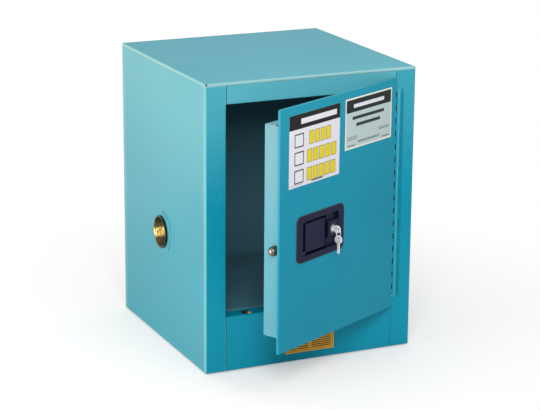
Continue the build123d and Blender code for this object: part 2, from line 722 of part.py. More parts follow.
def hinge_frame_leaf():
    """Leaf on the jamb with every second knuckle."""
    face = JAMB_X - SHEET
    leaf = block(face, JAMB_X, FRONT + LEAF_START, FRONT + LEAF_WIDTH, HINGE_BOTTOM + LEAF_END,
                 HINGE_TOP - LEAF_END)
    for z in rivet_heights():
        leaf -= rod("X", (FRONT + RIVET_Y, z), RIVET_R + VENT_FIT, face - 1, JAMB_X + 1)
    for index in range(1, KNUCKLE_COUNT, 2):
        low, high = knuckle_span(index)
        low_bridge = max(low, HINGE_BOTTOM + LEAF_END)
        high_bridge = min(high, HINGE_TOP - LEAF_END)
        leaf += knuckle(index)
        leaf += block(face, JAMB_X, HINGE_Y + BARREL_R - LEAF_BITE, FRONT + LEAF_START,
                      low_bridge, high_bridge)
    return leaf


def hinge_door_leaf():
    """Leaf on the side of the door pan with the other knuckles."""
    outer = PAN_RIGHT + SHEET
    leaf = block(PAN_RIGHT, outer, HINGE_Y + BARREL_R, FRONT + LEAF_WIDTH,
                 HINGE_BOTTOM + LEAF_END + PAN_LOW_GAP, HINGE_TOP - LEAF_END - PAN_HIGH_GAP)
    for z in rivet_heights():
        leaf -= rod("X", (FRONT + RIVET_Y, z), RIVET_R + VENT_FIT, PAN_RIGHT - 1, outer + 1)
    for index in range(0, KNUCKLE_COUNT, 2):
        low, high = knuckle_span(index)
        leaf += knuckle(index)
        leaf += block(PAN_RIGHT, HINGE_X - PIN_R / 2, HINGE_Y + BARREL_R - LEAF_BITE, HINGE_Y + BARREL_R,
                      low, high)
    return leaf


def hinge_pin():
    pin = rod("Z", (HINGE_X, HINGE_Y), PIN_R, HINGE_BOTTOM - 1, HINGE_TOP + PIN_END)
    head_top = HINGE_BOTTOM - PIN_END / 2
    head = rod("Z", (HINGE_X, HINGE_Y), PIN_HEAD_R, HINGE_BOTTOM - PIN_END - PIN_HEAD_T, head_top)
    return fillet(head.edges().group_by(Axis.Z)[0], 1.0) + pin


def rivet(face, z, toward):
    """Round headed rivet along X; toward is the side its head stands on."""
    near = min(face, face + toward * RIVET_HEAD_T)
    far = max(face, face + toward * RIVET_HEAD_T)
    head = rod("X", (FRONT + RIVET_Y, z), RIVET_HEAD_R, near, far)
    tail_end = face - toward * (2 * SHEET + RIVET_TAIL)
    shank = rod("X", (FRONT + RIVET_Y, z), RIVET_R, min(face, tail_end), max(face, tail_end))
    return head + shank


def hinge_frame_rivets():
    return [rivet(JAMB_X - SHEET, z, -1) for z in rivet_heights()]


def hinge_door_rivets():
    return [rivet(PAN_RIGHT + SHEET, z, 1) for z in rivet_heights()]


def strike_plate():
    """Plate behind the left jamb, stiffening the hole for the bolt."""
    outer = -LINER_IN - STRIKE_T
    y0 = BOLT_Y - STRIKE_W / 2
    plate = block(outer, -LINER_IN, y0, y0 + STRIKE_W, BOLT_Z - STRIKE_H / 2, BOLT_Z + STRIKE_H / 2)
    return plate - rod("X", (BOLT_Y, BOLT_Z), BOLT_R + STRIKE_HOLE_CLEAR, outer - 1, -LINER_IN + 1)


def knuckle_notches():
    """Room in the door's edge for the knuckles that belong to the frame's leaf."""
    notches = []
    for index in range(1, KNUCKLE_COUNT, 2):
        low, high = knuckle_span(index)
        notches.append(block(DOOR_RIGHT - KNUCKLE_NOTCH, DOOR_RIGHT + 1, DOOR_FACE - 1,
                             DOOR_FACE + DOOR_EDGE, low, high))
    return notches


def door_outer_panel():
    """Front sheet of the door with its four edges folded back."""
    back = DOOR_FACE + DOOR_EDGE
    panel = block(DOOR_LEFT, DOOR_RIGHT, DOOR_FACE, back, DOOR_LOW, DOOR_HIGH)
    panel = fillet(panel.edges().filter_by(Axis.Y), DOOR_CORNER_R)
    panel = fillet(panel.edges().group_by(Axis.Y)[0], BEND)
    panel -= block(DOOR_LEFT + SHEET, DOOR_RIGHT - SHEET, DOOR_BACK_FACE, back, DOOR_LOW + SHEET,
                   DOOR_HIGH - SHEET)
    half_w = RECESS_W / 2 + CUP_WALL + CUP_CLEAR
    half_h = RECESS_H / 2 + CUP_WALL + CUP_CLEAR
    panel -= block(LATCH_X - half_w, LATCH_X + half_w, DOOR_FACE - 1, back,
                   LATCH_Z - half_h, LATCH_Z + half_h)
    for x, z in post_places():
        panel -= rod("Y", (x, z), POST_R + POST_CLEAR, DOOR_FACE - 1, DOOR_BACK_FACE + 1)
    for notch in knuckle_notches():
        panel -= notch
    return panel


def door_inner_pan():
    """Box pressed behind the front sheet, with a flange all round and a rib along its top."""
    flange_back = DOOR_BACK_FACE + SHEET
    inset = SHEET + PAN_FLANGE_GAP
    box = block(PAN_LEFT, PAN_RIGHT, DOOR_BACK_FACE, PAN_BACK, PAN_LOW, PAN_HIGH)
    box = fillet(box.edges().group_by(Axis.Y)[-1], PAN_EDGE_R)
    pan = box + block(DOOR_LEFT + inset, PAN_RIGHT, DOOR_BACK_FACE, flange_back, DOOR_LOW + inset,
                      DOOR_HIGH - inset)
    half = SHEET / 2
    rib_path = [
        (flange_back + RIB_WIDTH, PAN_HIGH - half),
        (flange_back + RIB_WIDTH - RIB_HEIGHT, PAN_HIGH + RIB_HEIGHT - half),
        (flange_back, PAN_HIGH + RIB_HEIGHT - half),
    ]
    pan += folded(front_plane(), rib_path, PAN_LEFT + BEND, PAN_RIGHT - BEND)
    pan -= block(PAN_LEFT + SHEET, PAN_RIGHT - SHEET, DOOR_BACK_FACE - 1, PAN_BACK - SHEET, PAN_LOW + SHEET,
                 PAN_HIGH - SHEET)
    pan -= rod("X", (BOLT_Y, BOLT_Z), BOLT_R + BOLT_HOLE_CLEAR, PAN_LEFT - 1, PAN_LEFT + SHEET + 1)
    for z in rivet_heights():
        pan -= rod("X", (FRONT + RIVET_Y, z), RIVET_R + VENT_FIT, PAN_RIGHT - 2 * SHEET, PAN_RIGHT + 1)
    for notch in knuckle_notches():
        pan -= notch
    return pan


def door_stiffener():
    """Upright channel between the two door sheets."""
    half = STIFFENER_WIDTH / 2
    low = PAN_LOW + SHEET + STIFFENER_END
    high = PAN_HIGH - SHEET - STIFFENER_END
    front = DOOR_BACK_FACE + SHEET / 2
    back = PAN_BACK - SHEET - SHEET / 2
    points = [
        (STIFFENER_X + half, front),
        (STIFFENER_X - half, front),
        (STIFFENER_X - half, back),
        (STIFFENER_X + half, back),
    ]
    return folded(Plane.XY, points, low, high)


def rounded_plate(width, height, radius, y0, y1):
    """Plate centred on the latch with rounded corners."""
    plate = Pos(LATCH_X, (y0 + y1) / 2, LATCH_Z) * Box(width, y1 - y0, height)
    return fillet(plate.edges().filter_by(Axis.Y), radius)


def post_places():
    return [(LATCH_X + sx * POST_X, LATCH_Z + sz * POST_Z) for sx in (-1, 1) for sz in (-1, 1)]


def latch_bezel():
    """One moulding: rim on the door's face, recessed cup, stepped lock housing, screw posts."""
    rim = rounded_plate(BEZEL_W, BEZEL_H, BEZEL_R, BEZEL_FACE, DOOR_FACE)
    rim = fillet(rim.edges().group_by(Axis.Y)[0], BEZEL_EDGE)
    cup_w = RECESS_W + 2 * CUP_WALL
    cup_h = RECESS_H + 2 * CUP_WALL
    cup = rounded_plate(cup_w, cup_h, RECESS_R + CUP_WALL, DOOR_FACE, CUP_BACK)
    body = rim + cup - rounded_plate(RECESS_W, RECESS_H, RECESS_R, BEZEL_FACE - 1, CUP_FLOOR)
    low = LATCH_Z - RECESS_H / 2
    high = LATCH_Z + RECESS_H / 2
    left = RECESS_RIGHT - STEP_W
    steps = block(left, RECESS_RIGHT, BEZEL_FACE + STEP_DROP, CUP_FLOOR, low, high)
    boss = block(left, RECESS_RIGHT, BEZEL_FACE + BOSS_DROP, CUP_FLOOR,
                 LOCK_Z - BOSS_H / 2, LOCK_Z + BOSS_H / 2)
    boss = fillet(boss.edges().group_by(Axis.Y)[0], BOSS_EDGE_R)
    body += steps + boss
    for x, z in post_places():
        body += rod("Y", (x, z), POST_R, DOOR_FACE - BEZEL_T / 2, DOOR_BACK_FACE + CLAMP_T)
        body -= rod("Y", (x, z), SCREW_R + SCREW_FIT, DOOR_FACE - BEZEL_T / 2, DOOR_BACK_FACE + CLAMP_T + 1)
    body -= rod("Y", (LOCK_X, LOCK_Z), LOCK_BODY_R + SCREW_FIT, BEZEL_FACE - 1, CUP_BACK + 1)
    body -= rod("Z", (PIVOT_X, PIVOT_Y), PADDLE_PIN_R + VENT_FIT, low - CUP_WALL - 1, high + CUP_WALL + 1)
    slot_side = ARM_T / 2 + ARM_SLOT_CLEAR
    half_w = ARM_W / 2 + ARM_SLOT_CLEAR
    body -= block(PIVOT_X - slot_side, PIVOT_X + ARM_SLOT_SIDE, CUP_FLOOR - 1, CUP_BACK + 1, ARM_Z - half_w,
                  ARM_Z + half_w)
    return body


def latch_clamp():
    """Steel frame inside the door that the bezel's screws pull against."""
    back = DOOR_BACK_FACE + CLAMP_T
    half_w = RECESS_W / 2 + CUP_WALL
    half_h = RECESS_H / 2 + CUP_WALL
    clamp = rounded_plate(2 * (half_w + CLAMP_MARGIN), 2 * (half_h + CLAMP_MARGIN), BEZEL_R,
                          DOOR_BACK_FACE, back)
    clamp -= rounded_plate(2 * (half_w + CLAMP_GAP), 2 * (half_h + CLAMP_GAP), RECESS_R, DOOR_BACK_FACE - 1,
                           back + 1)
    for x, z in post_places():
        clamp -= rod("Y", (x, z), POST_R + POST_CLEAR, DOOR_BACK_FACE - 1, back + 1)
    return clamp


def latch_screws():
    """Four screws from behind, in the bezel's posts."""
    seat = DOOR_BACK_FACE + CLAMP_T
    screws = []
    for x, z in post_places():
        head = rod("Y", (x, z), SCREW_HEAD_R + POST_R - SCREW_R, seat, seat + SCREW_HEAD_T)
        head = fillet(head.edges().group_by(Axis.Y)[-1], 1.0)
        screws.append(head + rod("Y", (x, z), SCREW_R, seat - SCREW_LENGTH / 2, seat))
    return screws


def paddle():
    """Pull plate, hollow behind, with a hub on its pin and an arm that draws the bolt."""
    face = BEZEL_FACE + PADDLE_DROP
    right = PADDLE_LEFT + PADDLE_W
    low = LATCH_Z - PADDLE_H / 2
    high = LATCH_Z + PADDLE_H / 2
    plate = block(PADDLE_LEFT, right, face, face + PADDLE_D, low, high)
    plate = fillet(plate.edges().filter_by(Axis.Y), PADDLE_CORNER_R)
    plate = fillet(plate.edges().group_by(Axis.Y)[0], PADDLE_EDGE)
    plate -= block(PADDLE_LEFT + PADDLE_WALL, right - PADDLE_WALL, face + PADDLE_WALL, face + PADDLE_D + 1,
                   low + PADDLE_WALL, high - PADDLE_WALL)
    spring_room = spring_height() + 2 * SPRING_CLEAR
    hub = rod("Z", (PIVOT_X, PIVOT_Y), HUB_R, low, high - PADDLE_WALL - spring_room)
    arm = block(PIVOT_X - ARM_T / 2, PIVOT_X + ARM_T / 2, PIVOT_Y, PIVOT_Y + ARM_LENGTH, ARM_Z - ARM_W / 2,
                ARM_Z + ARM_W / 2)
    arm = fillet(arm.edges().group_by(Axis.Y)[-1].filter_by(Axis.Z), 1.0)
    whole = plate + hub + arm
    return whole - rod("Z", (PIVOT_X, PIVOT_Y), PADDLE_PIN_R + RUN_CLEAR, low - 1, high + 1)


def spring_height():
    return SPRING_PITCH * SPRING_TURNS + 2 * SPRING_WIRE_R


def paddle_pin():
    half = RECESS_H / 2 + CUP_WALL + PADDLE_PIN_END
    return rod("Z", (PIVOT_X, PIVOT_Y), PADDLE_PIN_R, LATCH_Z - half, LATCH_Z + half)


def coil(radius, wire_r, pitch, turns):
    """A wound spring along +Z, standing on z = 0; the gap between its turns is printed."""
    path = Helix(pitch=pitch, height=pitch * turns, radius=radius)
    samples = 24
    points = [path @ (i / (samples * turns)) for i in range(samples * turns + 1)]
    pairs = zip(points, points[samples:])
    least = min((far - near).length for near, far in pairs) - 2 * wire_r
    print(f"coil of radius {radius:.2f} mm: least gap between turns {least:.2f} mm")
    section = Plane(origin=path @ 0, z_dir=path % 0) * Circle(wire_r)
    return Pos(0, 0, wire_r) * sweep(section, path=path, is_frenet=True)


def paddle_spring():
    """Torsion spring on the paddle's pin."""
    high = LATCH_Z + PADDLE_H / 2 - PADDLE_WALL - SPRING_CLEAR
    radius = PADDLE_PIN_R + SPRING_WIRE_R + SPRING_CLEAR
    winding = coil(radius, SPRING_WIRE_R, SPRING_PITCH, SPRING_TURNS)
    return Pos(PIVOT_X, PIVOT_Y, high - spring_height()) * winding


def latch_bolt():
    """Round bolt with a bevelled nose, and a flat tail with a window for the paddle's arm."""
    nose = PAN_LEFT - BOLT_OUT
    bolt = rod("X", (BOLT_Y, BOLT_Z), BOLT_R, nose, BOLT_END)
    bolt = fillet(bolt.edges().group_by(Axis.X)[-1], 0.6)
    wedge = Box(4 * BOLT_R, 4 * BOLT_R, 4 * BOLT_R)
    cut_at = Pos(nose + BOLT_OUT * 0.75, BOLT_Y + BOLT_R, BOLT_Z) * Rot(0, 0, 90 - BOLT_BEVEL)
    bolt -= cut_at * Pos(0, 2 * BOLT_R, 0) * wedge
    neck_end = WINDOW_LEFT - TAIL_WALL
    half_neck = TAIL_NECK / 2
    tail = block(BOLT_END, neck_end + 1, TAIL_Y, TAIL_Y + TAIL_T, BOLT_Z - half_neck, BOLT_Z + half_neck)
    strap = block(neck_end, WINDOW_RIGHT + TAIL_WALL, TAIL_Y, TAIL_Y + TAIL_T, BOLT_Z - TAIL_LOW,
                  BOLT_Z + TAIL_HIGH)
    half_window = ARM_W / 2 + WINDOW_GAP
    window = block(WINDOW_LEFT, WINDOW_RIGHT, TAIL_Y - 1, TAIL_Y + TAIL_T + 1, ARM_Z - half_window,
                   ARM_Z + half_window)
    return bolt + tail + strap - window


def bolt_guide():
    """Block welded inside the pan wall, with a stop for the spring."""
    half = GUIDE_SIZE / 2
    start = PAN_LEFT + SHEET
    end = start + GUIDE_LENGTH
    guide = block(start, end, BOLT_Y - half, BOLT_Y + half, BOLT_Z - half, BOLT_Z + half)
    guide -= rod("X", (BOLT_Y, BOLT_Z), BOLT_R + RUN_CLEAR, start - 1, end + 1)
    stop = BOLT_END + bolt_spring_length() + BOLT_TRAVEL + BOLT_SPRING_GAP
    shelf_y = BOLT_Y + half - GUIDE_STOP_T
    guide += block(end, stop + GUIDE_STOP_T, shelf_y, BOLT_Y + half, BOLT_Z - half, BOLT_Z + half)
    plate = block(stop, stop + GUIDE_STOP_T, BOLT_Y - half / 2, BOLT_Y + half, BOLT_Z - half, BOLT_Z + half)
    clear = TAIL_NECK / 2 + 1
    plate -= block(stop - 1, stop + GUIDE_STOP_T + 1, TAIL_Y - 1, TAIL_Y + TAIL_T + 1,
                   BOLT_Z - clear, BOLT_Z + clear)
    return guide + plate


def bolt_spring_length():
    return BOLT_SPRING_PITCH * BOLT_SPRING_TURNS + 2 * SPRING_WIRE_R


def bolt_spring():
    """Compression spring behind the bolt, drawn at its pressed length."""
    winding = coil(BOLT_SPRING_R, SPRING_WIRE_R, BOLT_SPRING_PITCH, BOLT_SPRING_TURNS)
    return Pos(BOLT_END + SPRING_WIRE_R / 2, BOLT_Y, BOLT_Z) * Rot(0, 90, 0) * winding


def lock_cylinder():
    """Fixed barrel of the lock."""
    centre = (LOCK_X, LOCK_Z)
    face = rod("Y", centre, LOCK_FACE_R, LOCK_FACE, LOCK_FACE + LOCK_FACE_T)
    face = fillet(face.edges().group_by(Axis.Y)[0], 0.6)
    barrel = face + rod("Y", centre, LOCK_BODY_R, LOCK_FACE + LOCK_FACE_T / 2, LOCK_BACK)
    return barrel - rod("Y", centre, PLUG_R + RUN_CLEAR, LOCK_FACE - 1, LOCK_BACK + 1)


def lock_nut():
    centre = (LOCK_X, LOCK_Z)
    nut = hex_bar("Y", centre, LOCK_NUT_FLATS, CUP_BACK, CUP_BACK + LOCK_NUT_T)
    return nut - rod("Y", centre, LOCK_BODY_R + SCREW_FIT, CUP_BACK - 1, CUP_BACK + LOCK_NUT_T + 1)


def lock_plug():
    """Turning core with a keyway and a square end for the cam."""
    plug = rod("Y", (LOCK_X, LOCK_Z), PLUG_R, LOCK_FACE, LOCK_BACK)
    half = PLUG_R / 2
    plug += block(LOCK_X - half, LOCK_X + half, LOCK_BACK - 1, LOCK_BACK + PLUG_TAIL,
                  LOCK_Z - half, LOCK_Z + half)
    slot_half = KEYWAY_H / 2
    slot_end = LOCK_FACE + KEY_BLADE_IN + 1
    return plug - block(LOCK_X - KEYWAY_W / 2, LOCK_X + KEYWAY_W / 2, LOCK_FACE - 1, slot_end,
                        LOCK_Z - slot_half, LOCK_Z + slot_half)


def lock_cam():
    """Flat lever behind the lock, pointing up when unlocked."""
    start = LOCK_BACK + CAM_GAP
    half = CAM_WIDTH / 2
    cam = block(LOCK_X - half, LOCK_X + half, start, start + CAM_T, LOCK_Z - half, LOCK_Z + CAM_LENGTH)
    cam = fillet(cam.edges().filter_by(Axis.Y), 2.5)
    hole = PLUG_R / 2 + VENT_FIT
    return cam - block(LOCK_X - hole, LOCK_X + hole, start - 1, start + CAM_T + 1,
                       LOCK_Z - hole, LOCK_Z + hole)


def key_bow(y, z, hole_y, hole_z):
    """Round head of a key, square to X, with its ring hole."""
    bow = rod("X", (y, z), KEY_BOW_R, LOCK_X - KEY_T / 2, LOCK_X + KEY_T / 2)
    bow = chamfer(bow.edges(), 0.3)
    return bow - rod("X", (hole_y, hole_z), KEY_HOLE_R, LOCK_X - KEY_T, LOCK_X + KEY_T)


def key_in_lock():
    half = KEY_BLADE_W / 2
    x = KEY_T / 2
    blade = block(LOCK_X - x, LOCK_X + x, BOW_Y + KEY_BOW_R - 2, LOCK_FACE + KEY_BLADE_IN, LOCK_Z - half,
                  LOCK_Z + half)
    return key_bow(BOW_Y, LOCK_Z, KEY_HOLE_Y, LOCK_Z) + blade


def key_ring():
    ring = Torus(RING_R, RING_WIRE_R)
    return Pos(LOCK_X, KEY_HOLE_Y, RING_TOP - RING_R) * Rot(90, 0, 0) * ring


def hanging_key():
    """Spare key on the ring."""
    hole_z = RING_TOP - 2 * RING_R - RING_SAG
    bow_z = hole_z - SPARE_HOLE_OFFSET
    half = KEY_BLADE_W / 2
    x = KEY_T / 2
    low = bow_z - KEY_BOW_R - KEY_LENGTH
    blade = block(LOCK_X - x, LOCK_X + x, KEY_HOLE_Y - half, KEY_HOLE_Y + half - 1,
                  low, bow_z - KEY_BOW_R + 2)
    teeth = 4
    pitch = (KEY_LENGTH - 5) / teeth
    for tooth in range(teeth):
        centre = low + 3 + pitch * (tooth + 0.5)
        notch = Pos(LOCK_X, KEY_HOLE_Y + half - 1, centre) * Rot(45, 0, 0) * Box(2 * KEY_T, 1.8, 1.8)
        blade -= notch
    return key_bow(KEY_HOLE_Y, bow_z, KEY_HOLE_Y, hole_z) + blade


def door_label(left, right, height, drop):
    """Bare label on the door's face; drop is its middle below the door's upper edge."""
    z = DOOR_HIGH - drop
    return block(left, right, DOOR_FACE - LABEL_T, DOOR_FACE, z - height / 2, z + height / 2)


def door_label_white():
    left = DOOR_LEFT + WHITE_LABEL_INSET
    return door_label(left, left + WHITE_LABEL[0], WHITE_LABEL[1], WHITE_LABEL_DROP)


def door_label_grey():
    left = DOOR_LEFT + WHITE_LABEL_INSET + WHITE_LABEL[0] + GREY_LABEL_GAP
    return door_label(left, DOOR_RIGHT - GREY_LABEL_MARGIN, GREY_LABEL_H, GREY_LABEL_DROP)


def sill_label():
    half_w = SILL_LABEL[0] / 2
    half_h = SILL_LABEL[1] / 2
    z = SILL_TOP - SILL_LABEL_DROP
    x = SILL_LABEL_X
    return block(x - half_w, x + half_w, FRONT - LABEL_T, FRONT, z - half_h, z + half_h)


def rim_label():
    x = -JAMB_X + RIM_LABEL_INSET
    y = FRONT + RIM_LABEL_BACK
    half_w = RIM_LABEL[0] / 2
    half_d = RIM_LABEL[1] / 2
    return block(x - half_w, x + half_w, y - half_d, y + half_d, SILL_TOP, SILL_TOP + LABEL_T)


FIXED = {
    "side_panel_left": side_panel_with_strike_hole(),
    "side_panel_right": side_panel_with_ground_hole(),
    "top_panel": top_panel(),
    "back_panel": back_panel(),
    "bottom_panel": bottom_panel(),
    "front_header": front_header(),
    "front_sill": front_sill(),
    "liner_shell": liner_shell(),
    "liner_top": liner_top(),
    "sump_pan": sump_pan(),
    "wall_spacers": wall_spacers(),
    "foot_nuts": foot_nuts(),
    "vent_collar_left": mirrored(vent_collar()),
    "vent_collar_right": vent_collar(),
    "vent_rings": [vent_ring(), mirrored(vent_ring())],
    "flame_arrester_left": mirrored(flame_arrester()),
    "flame_arrester_right": flame_arrester(),
    "flame_screen_left": mirrored(flame_screen()),
    "flame_screen_right": flame_screen(),
    "vent_bung": vent_bung(),
    "ground_stud": ground_stud(),
    "ground_nut": ground_nut(),
    "shelf_rails": shelf_rails(),
    "shelf_brackets": shelf_brackets(),
    "shelf": shelf(),
    "hinge_frame_leaf": hinge_frame_leaf(),
    "hinge_pin": hinge_pin(),
    "hinge_frame_rivets": hinge_frame_rivets(),
    "strike_plate": strike_plate(),
    "sill_label": sill_label(),
    "rim_label": rim_label(),
}
FOOT_NAMES = ("foot_front_left", "foot_front_right", "foot_rear_left", "foot_rear_right")
for foot_name, place in zip(FOOT_NAMES, foot_places()):
    FIXED[foot_name] = levelling_foot(*place)

ON_DOOR = {
    "door_outer_panel": door_outer_panel(),
    "door_inner_pan": door_inner_pan(),
    "door_stiffener": door_stiffener(),
    "hinge_door_leaf": hinge_door_leaf(),
    "hinge_door_rivets": hinge_door_rivets(),
    "latch_bezel": latch_bezel(),
    "latch_clamp": latch_clamp(),
    "latch_screws": latch_screws(),
    "paddle": paddle(),
    "paddle_pin": paddle_pin(),
    "paddle_spring": paddle_spring(),
    "latch_bolt": latch_bolt(),
    "bolt_guide": bolt_guide(),
    "bolt_spring": bolt_spring(),
    "lock_cylinder": lock_cylinder(),
    "lock_nut": lock_nut(),
    "lock_plug": lock_plug(),
    "lock_cam": lock_cam(),
    "key_in_lock": key_in_lock(),
    "key_ring": key_ring(),
    "hanging_key": hanging_key(),
    "door_label_white": door_label_white(),
    "door_label_grey": door_label_grey(),
}

HINGE_AXIS = Axis((HINGE_X, HINGE_Y, 0), (0, 0, 1))


def solids_of(shape):
    pieces = shape if isinstance(shape, list) else [shape]
    return [solid for piece in pieces for solid in piece.solids()]


os.makedirs("parts", exist_ok=True)
for name, shape in FIXED.items():
    export_step(Compound(children=solids_of(shape)), f"parts/{name}.step")
for name, shape in ON_DOOR.items():
    turned = [solid.rotate(HINGE_AXIS, DOOR_AJAR) for solid in solids_of(shape)]
    export_step(Compound(children=turned), f"parts/{name}.step")
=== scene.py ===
import math

import bmesh
import bpy
import numpy as np
from mathutils import Euler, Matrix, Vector


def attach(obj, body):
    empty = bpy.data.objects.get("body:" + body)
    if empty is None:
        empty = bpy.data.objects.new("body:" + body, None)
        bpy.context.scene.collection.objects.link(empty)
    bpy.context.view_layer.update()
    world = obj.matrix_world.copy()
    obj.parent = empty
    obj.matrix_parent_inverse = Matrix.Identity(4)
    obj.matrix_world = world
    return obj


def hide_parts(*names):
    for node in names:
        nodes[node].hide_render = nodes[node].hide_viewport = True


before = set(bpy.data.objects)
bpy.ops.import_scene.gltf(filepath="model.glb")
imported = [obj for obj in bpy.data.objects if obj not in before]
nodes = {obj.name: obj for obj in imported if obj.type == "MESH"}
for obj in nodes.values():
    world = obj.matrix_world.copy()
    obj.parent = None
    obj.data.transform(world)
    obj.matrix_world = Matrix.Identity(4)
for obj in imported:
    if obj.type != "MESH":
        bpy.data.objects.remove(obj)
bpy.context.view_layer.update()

# Outer skin: side, top, back and bottom panels, header and sill, folded from 1.2 mm steel sheet
# and spot welded. All is powder coated in one satin teal after assembly, with a faint orange
# peel. The coat is painted paler near the top, a painted sheen for light from above, and is paler
# over folds, partly where it runs thin and partly a painted highlight.
CASE_HALF, CASE_TOP = 0.2159, 0.5588    # half the width and depth, and the height
STILE_X = 0.1748                        # where header and sill meet the stiles
# Painted sheen: between these heights the coat is painted paler, for light falling from above.
SHEEN_LOW, SHEEN_HIGH = 0.30, 0.56
TEAL = (0.0016, 0.232, 0.345, 1.0)
TEAL_THIN = (0.016, 0.370, 0.480, 1.0)
TEAL_EDGE = (0.330, 0.600, 0.640, 1.0)
# The colour painted near the top as a sheen; the back gets a milder one.
TEAL_SHEEN = (0.060, 0.320, 0.400, 1.0)
TEAL_BACK = (0.014, 0.254, 0.360, 1.0)
COAT_IOR, COAT_SHINE, COAT_RELIEF = 1.21, 0.36, 0.00003
NUMBER, COLOUR, VECTOR = "NodeSocketFloat", "NodeSocketColor", "NodeSocketVector"


def feed(tree, socket, value):
    """Links a node's output to a socket, or sets a plain value on it."""
    if isinstance(value, bpy.types.NodeSocket):
        tree.links.new(value, socket)
    elif value is not None:
        socket.default_value = value


def blended(tree, factor, first, second):
    """The first colour where the factor is 0, the second where it is 1."""
    node = tree.nodes.new("ShaderNodeMix")
    node.data_type = "RGBA"
    for index, value in ((0, factor), (6, first), (7, second)):
        feed(tree, node.inputs[index], value)
    return node.outputs[2]


def worked(tree, operation, first, second=None, third=None, clamp=False):
    """One Math node on sockets or numbers."""
    node = tree.nodes.new("ShaderNodeMath")
    node.operation = operation
    node.use_clamp = clamp
    for socket, value in zip(node.inputs, (first, second, third)):
        feed(tree, socket, value)
    return node.outputs[0]


def measured(tree, operation, first, second=None):
    """One Vector Math node that gives a number."""
    node = tree.nodes.new("ShaderNodeVectorMath")
    node.operation = operation
    feed(tree, node.inputs[0], first)
    feed(tree, node.inputs[1], second)
    return node.outputs["Value"]


def axes_of(tree, place):
    """The X, Y and Z of a place, by those names."""
    node = tree.nodes.new("ShaderNodeSeparateXYZ")
    feed(tree, node.inputs[0], place)
    return node.outputs


def eased(tree, value, low, high, to_low=0.0, to_high=1.0):
    """A smooth step from to_low at low to to_high at high."""
    node = tree.nodes.new("ShaderNodeMapRange")
    node.interpolation_type = "SMOOTHSTEP"
    for name, number in (("Value", value), ("From Min", low), ("From Max", high), ("To Min", to_low),
                         ("To Max", to_high)):
        feed(tree, node.inputs[name], number)
    return node.outputs[0]


def clouds(tree, place, scale, detail=2.0, roughness=0.5):
    """Noise of about 1/scale metres."""
    node = tree.nodes.new("ShaderNodeTexNoise")
    for name, value in (("Vector", place), ("Scale", scale), ("Detail", detail), ("Roughness", roughness)):
        feed(tree, node.inputs[name], value)
    return node.outputs["Fac"]


def new_group(name, takes, gives):
    """An empty node group, with what comes into it and what goes out of it.

    takes lists (name, kind, default) and gives lists (name, kind).
    """
    tree = bpy.data.node_groups.new(name, "ShaderNodeTree")
    for label, kind, default in takes:
        socket = tree.interface.new_socket(label, in_out="INPUT", socket_type=kind)
        if default is not None:
            socket.default_value = default
    for label, kind in gives:
        tree.interface.new_socket(label, in_out="OUTPUT", socket_type=kind)
    return tree, tree.nodes.new("NodeGroupInput").outputs, tree.nodes.new("NodeGroupOutput").inputs


def placed_group(tree, group, **values):
    """A group in a material; values are sockets or numbers by input name, _ for a space."""
    node = tree.nodes.new("ShaderNodeGroup")
    node.node_tree = group
    for label, value in values.items():
        feed(tree, node.inputs[label.replace("_", " ")], value)
    return node.outputs


# The coat shows its thin colour in slow clouds, in a mottle of 3 mm and in fine grit, and a paler
# colour towards the top, a painted sheen for light falling from above. Orange peel of 2 mm and the grit
# give it relief.
powder_coat, given, made = new_group(
    "powder_coat",
    [("Place", VECTOR, None), ("Colour", COLOUR, (0, 0, 0, 1)), ("Thin", COLOUR, (1, 1, 1, 1)),
     ("Faded", COLOUR, (1, 1, 1, 1)), ("Shine", NUMBER, 0.3)],
    [("Colour", COLOUR), ("Roughness", NUMBER), ("Height", NUMBER)])
cloud = clouds(powder_coat, given["Place"], 5.0, 3.0)
peel = clouds(powder_coat, given["Place"], 560.0, 1.0)
mottle = clouds(powder_coat, given["Place"], 300.0, 2.0, 0.7)
grit = clouds(powder_coat, given["Place"], 2600.0, 1.0)
tone = given["Colour"]
for noise, low, high, share in ((cloud, 0.35, 0.70, 0.10), (grit, 0.62, 0.80, 0.10),
                                (mottle, 0.40, 0.72, 0.16)):
    tone = blended(powder_coat, eased(powder_coat, noise, low, high, 0.0, share), tone, given["Thin"])
level = axes_of(powder_coat, given["Place"])["Z"]
# Painted sheen: paler towards the top, where light from above falls.
tone = blended(powder_coat, eased(powder_coat, level, SHEEN_LOW, SHEEN_HIGH), tone, given["Faded"])
feed(powder_coat, made["Colour"], tone)
rough = worked(powder_coat, "MULTIPLY_ADD", cloud, 0.08, given["Shine"])
feed(powder_coat, made["Roughness"], worked(powder_coat, "MULTIPLY_ADD", grit, 0.05, rough))
feed(powder_coat, made["Height"], worked(powder_coat, "MULTIPLY_ADD", grit, 0.2, peel))

# A fold or corner is found where a rounded normal leaves the flat one; the pale mark on it, partly
# wear and partly a painted highlight, is broken up.
edge_wear_and_highlight, given, made = new_group(
    "edge_wear_and_highlight",
    [("Place", VECTOR, None), ("Width", NUMBER, 0.0012), ("Amount", NUMBER, 0.5), ("Break", NUMBER, 260.0)],
    [("Mask", NUMBER), ("Normal", VECTOR)])
rounding = edge_wear_and_highlight.nodes.new("ShaderNodeBevel")
rounding.samples = 6
feed(edge_wear_and_highlight, rounding.inputs["Radius"], given["Width"])
flat = edge_wear_and_highlight.nodes.new("ShaderNodeNewGeometry").outputs["True Normal"]
fold = eased(edge_wear_and_highlight, measured(edge_wear_and_highlight, "DOT_PRODUCT", rounding.outputs[0], flat), 0.995, 0.86)
breakup = eased(edge_wear_and_highlight, clouds(edge_wear_and_highlight, given["Place"], given["Break"], 3.0), 0.30, 0.62, 0.45, 1.0)
fold_wear_and_light = worked(edge_wear_and_highlight, "MULTIPLY", fold, breakup)
feed(edge_wear_and_highlight, made["Mask"], worked(edge_wear_and_highlight, "MULTIPLY", fold_wear_and_light, given["Amount"]))
feed(edge_wear_and_highlight, made["Normal"], rounding.outputs[0])


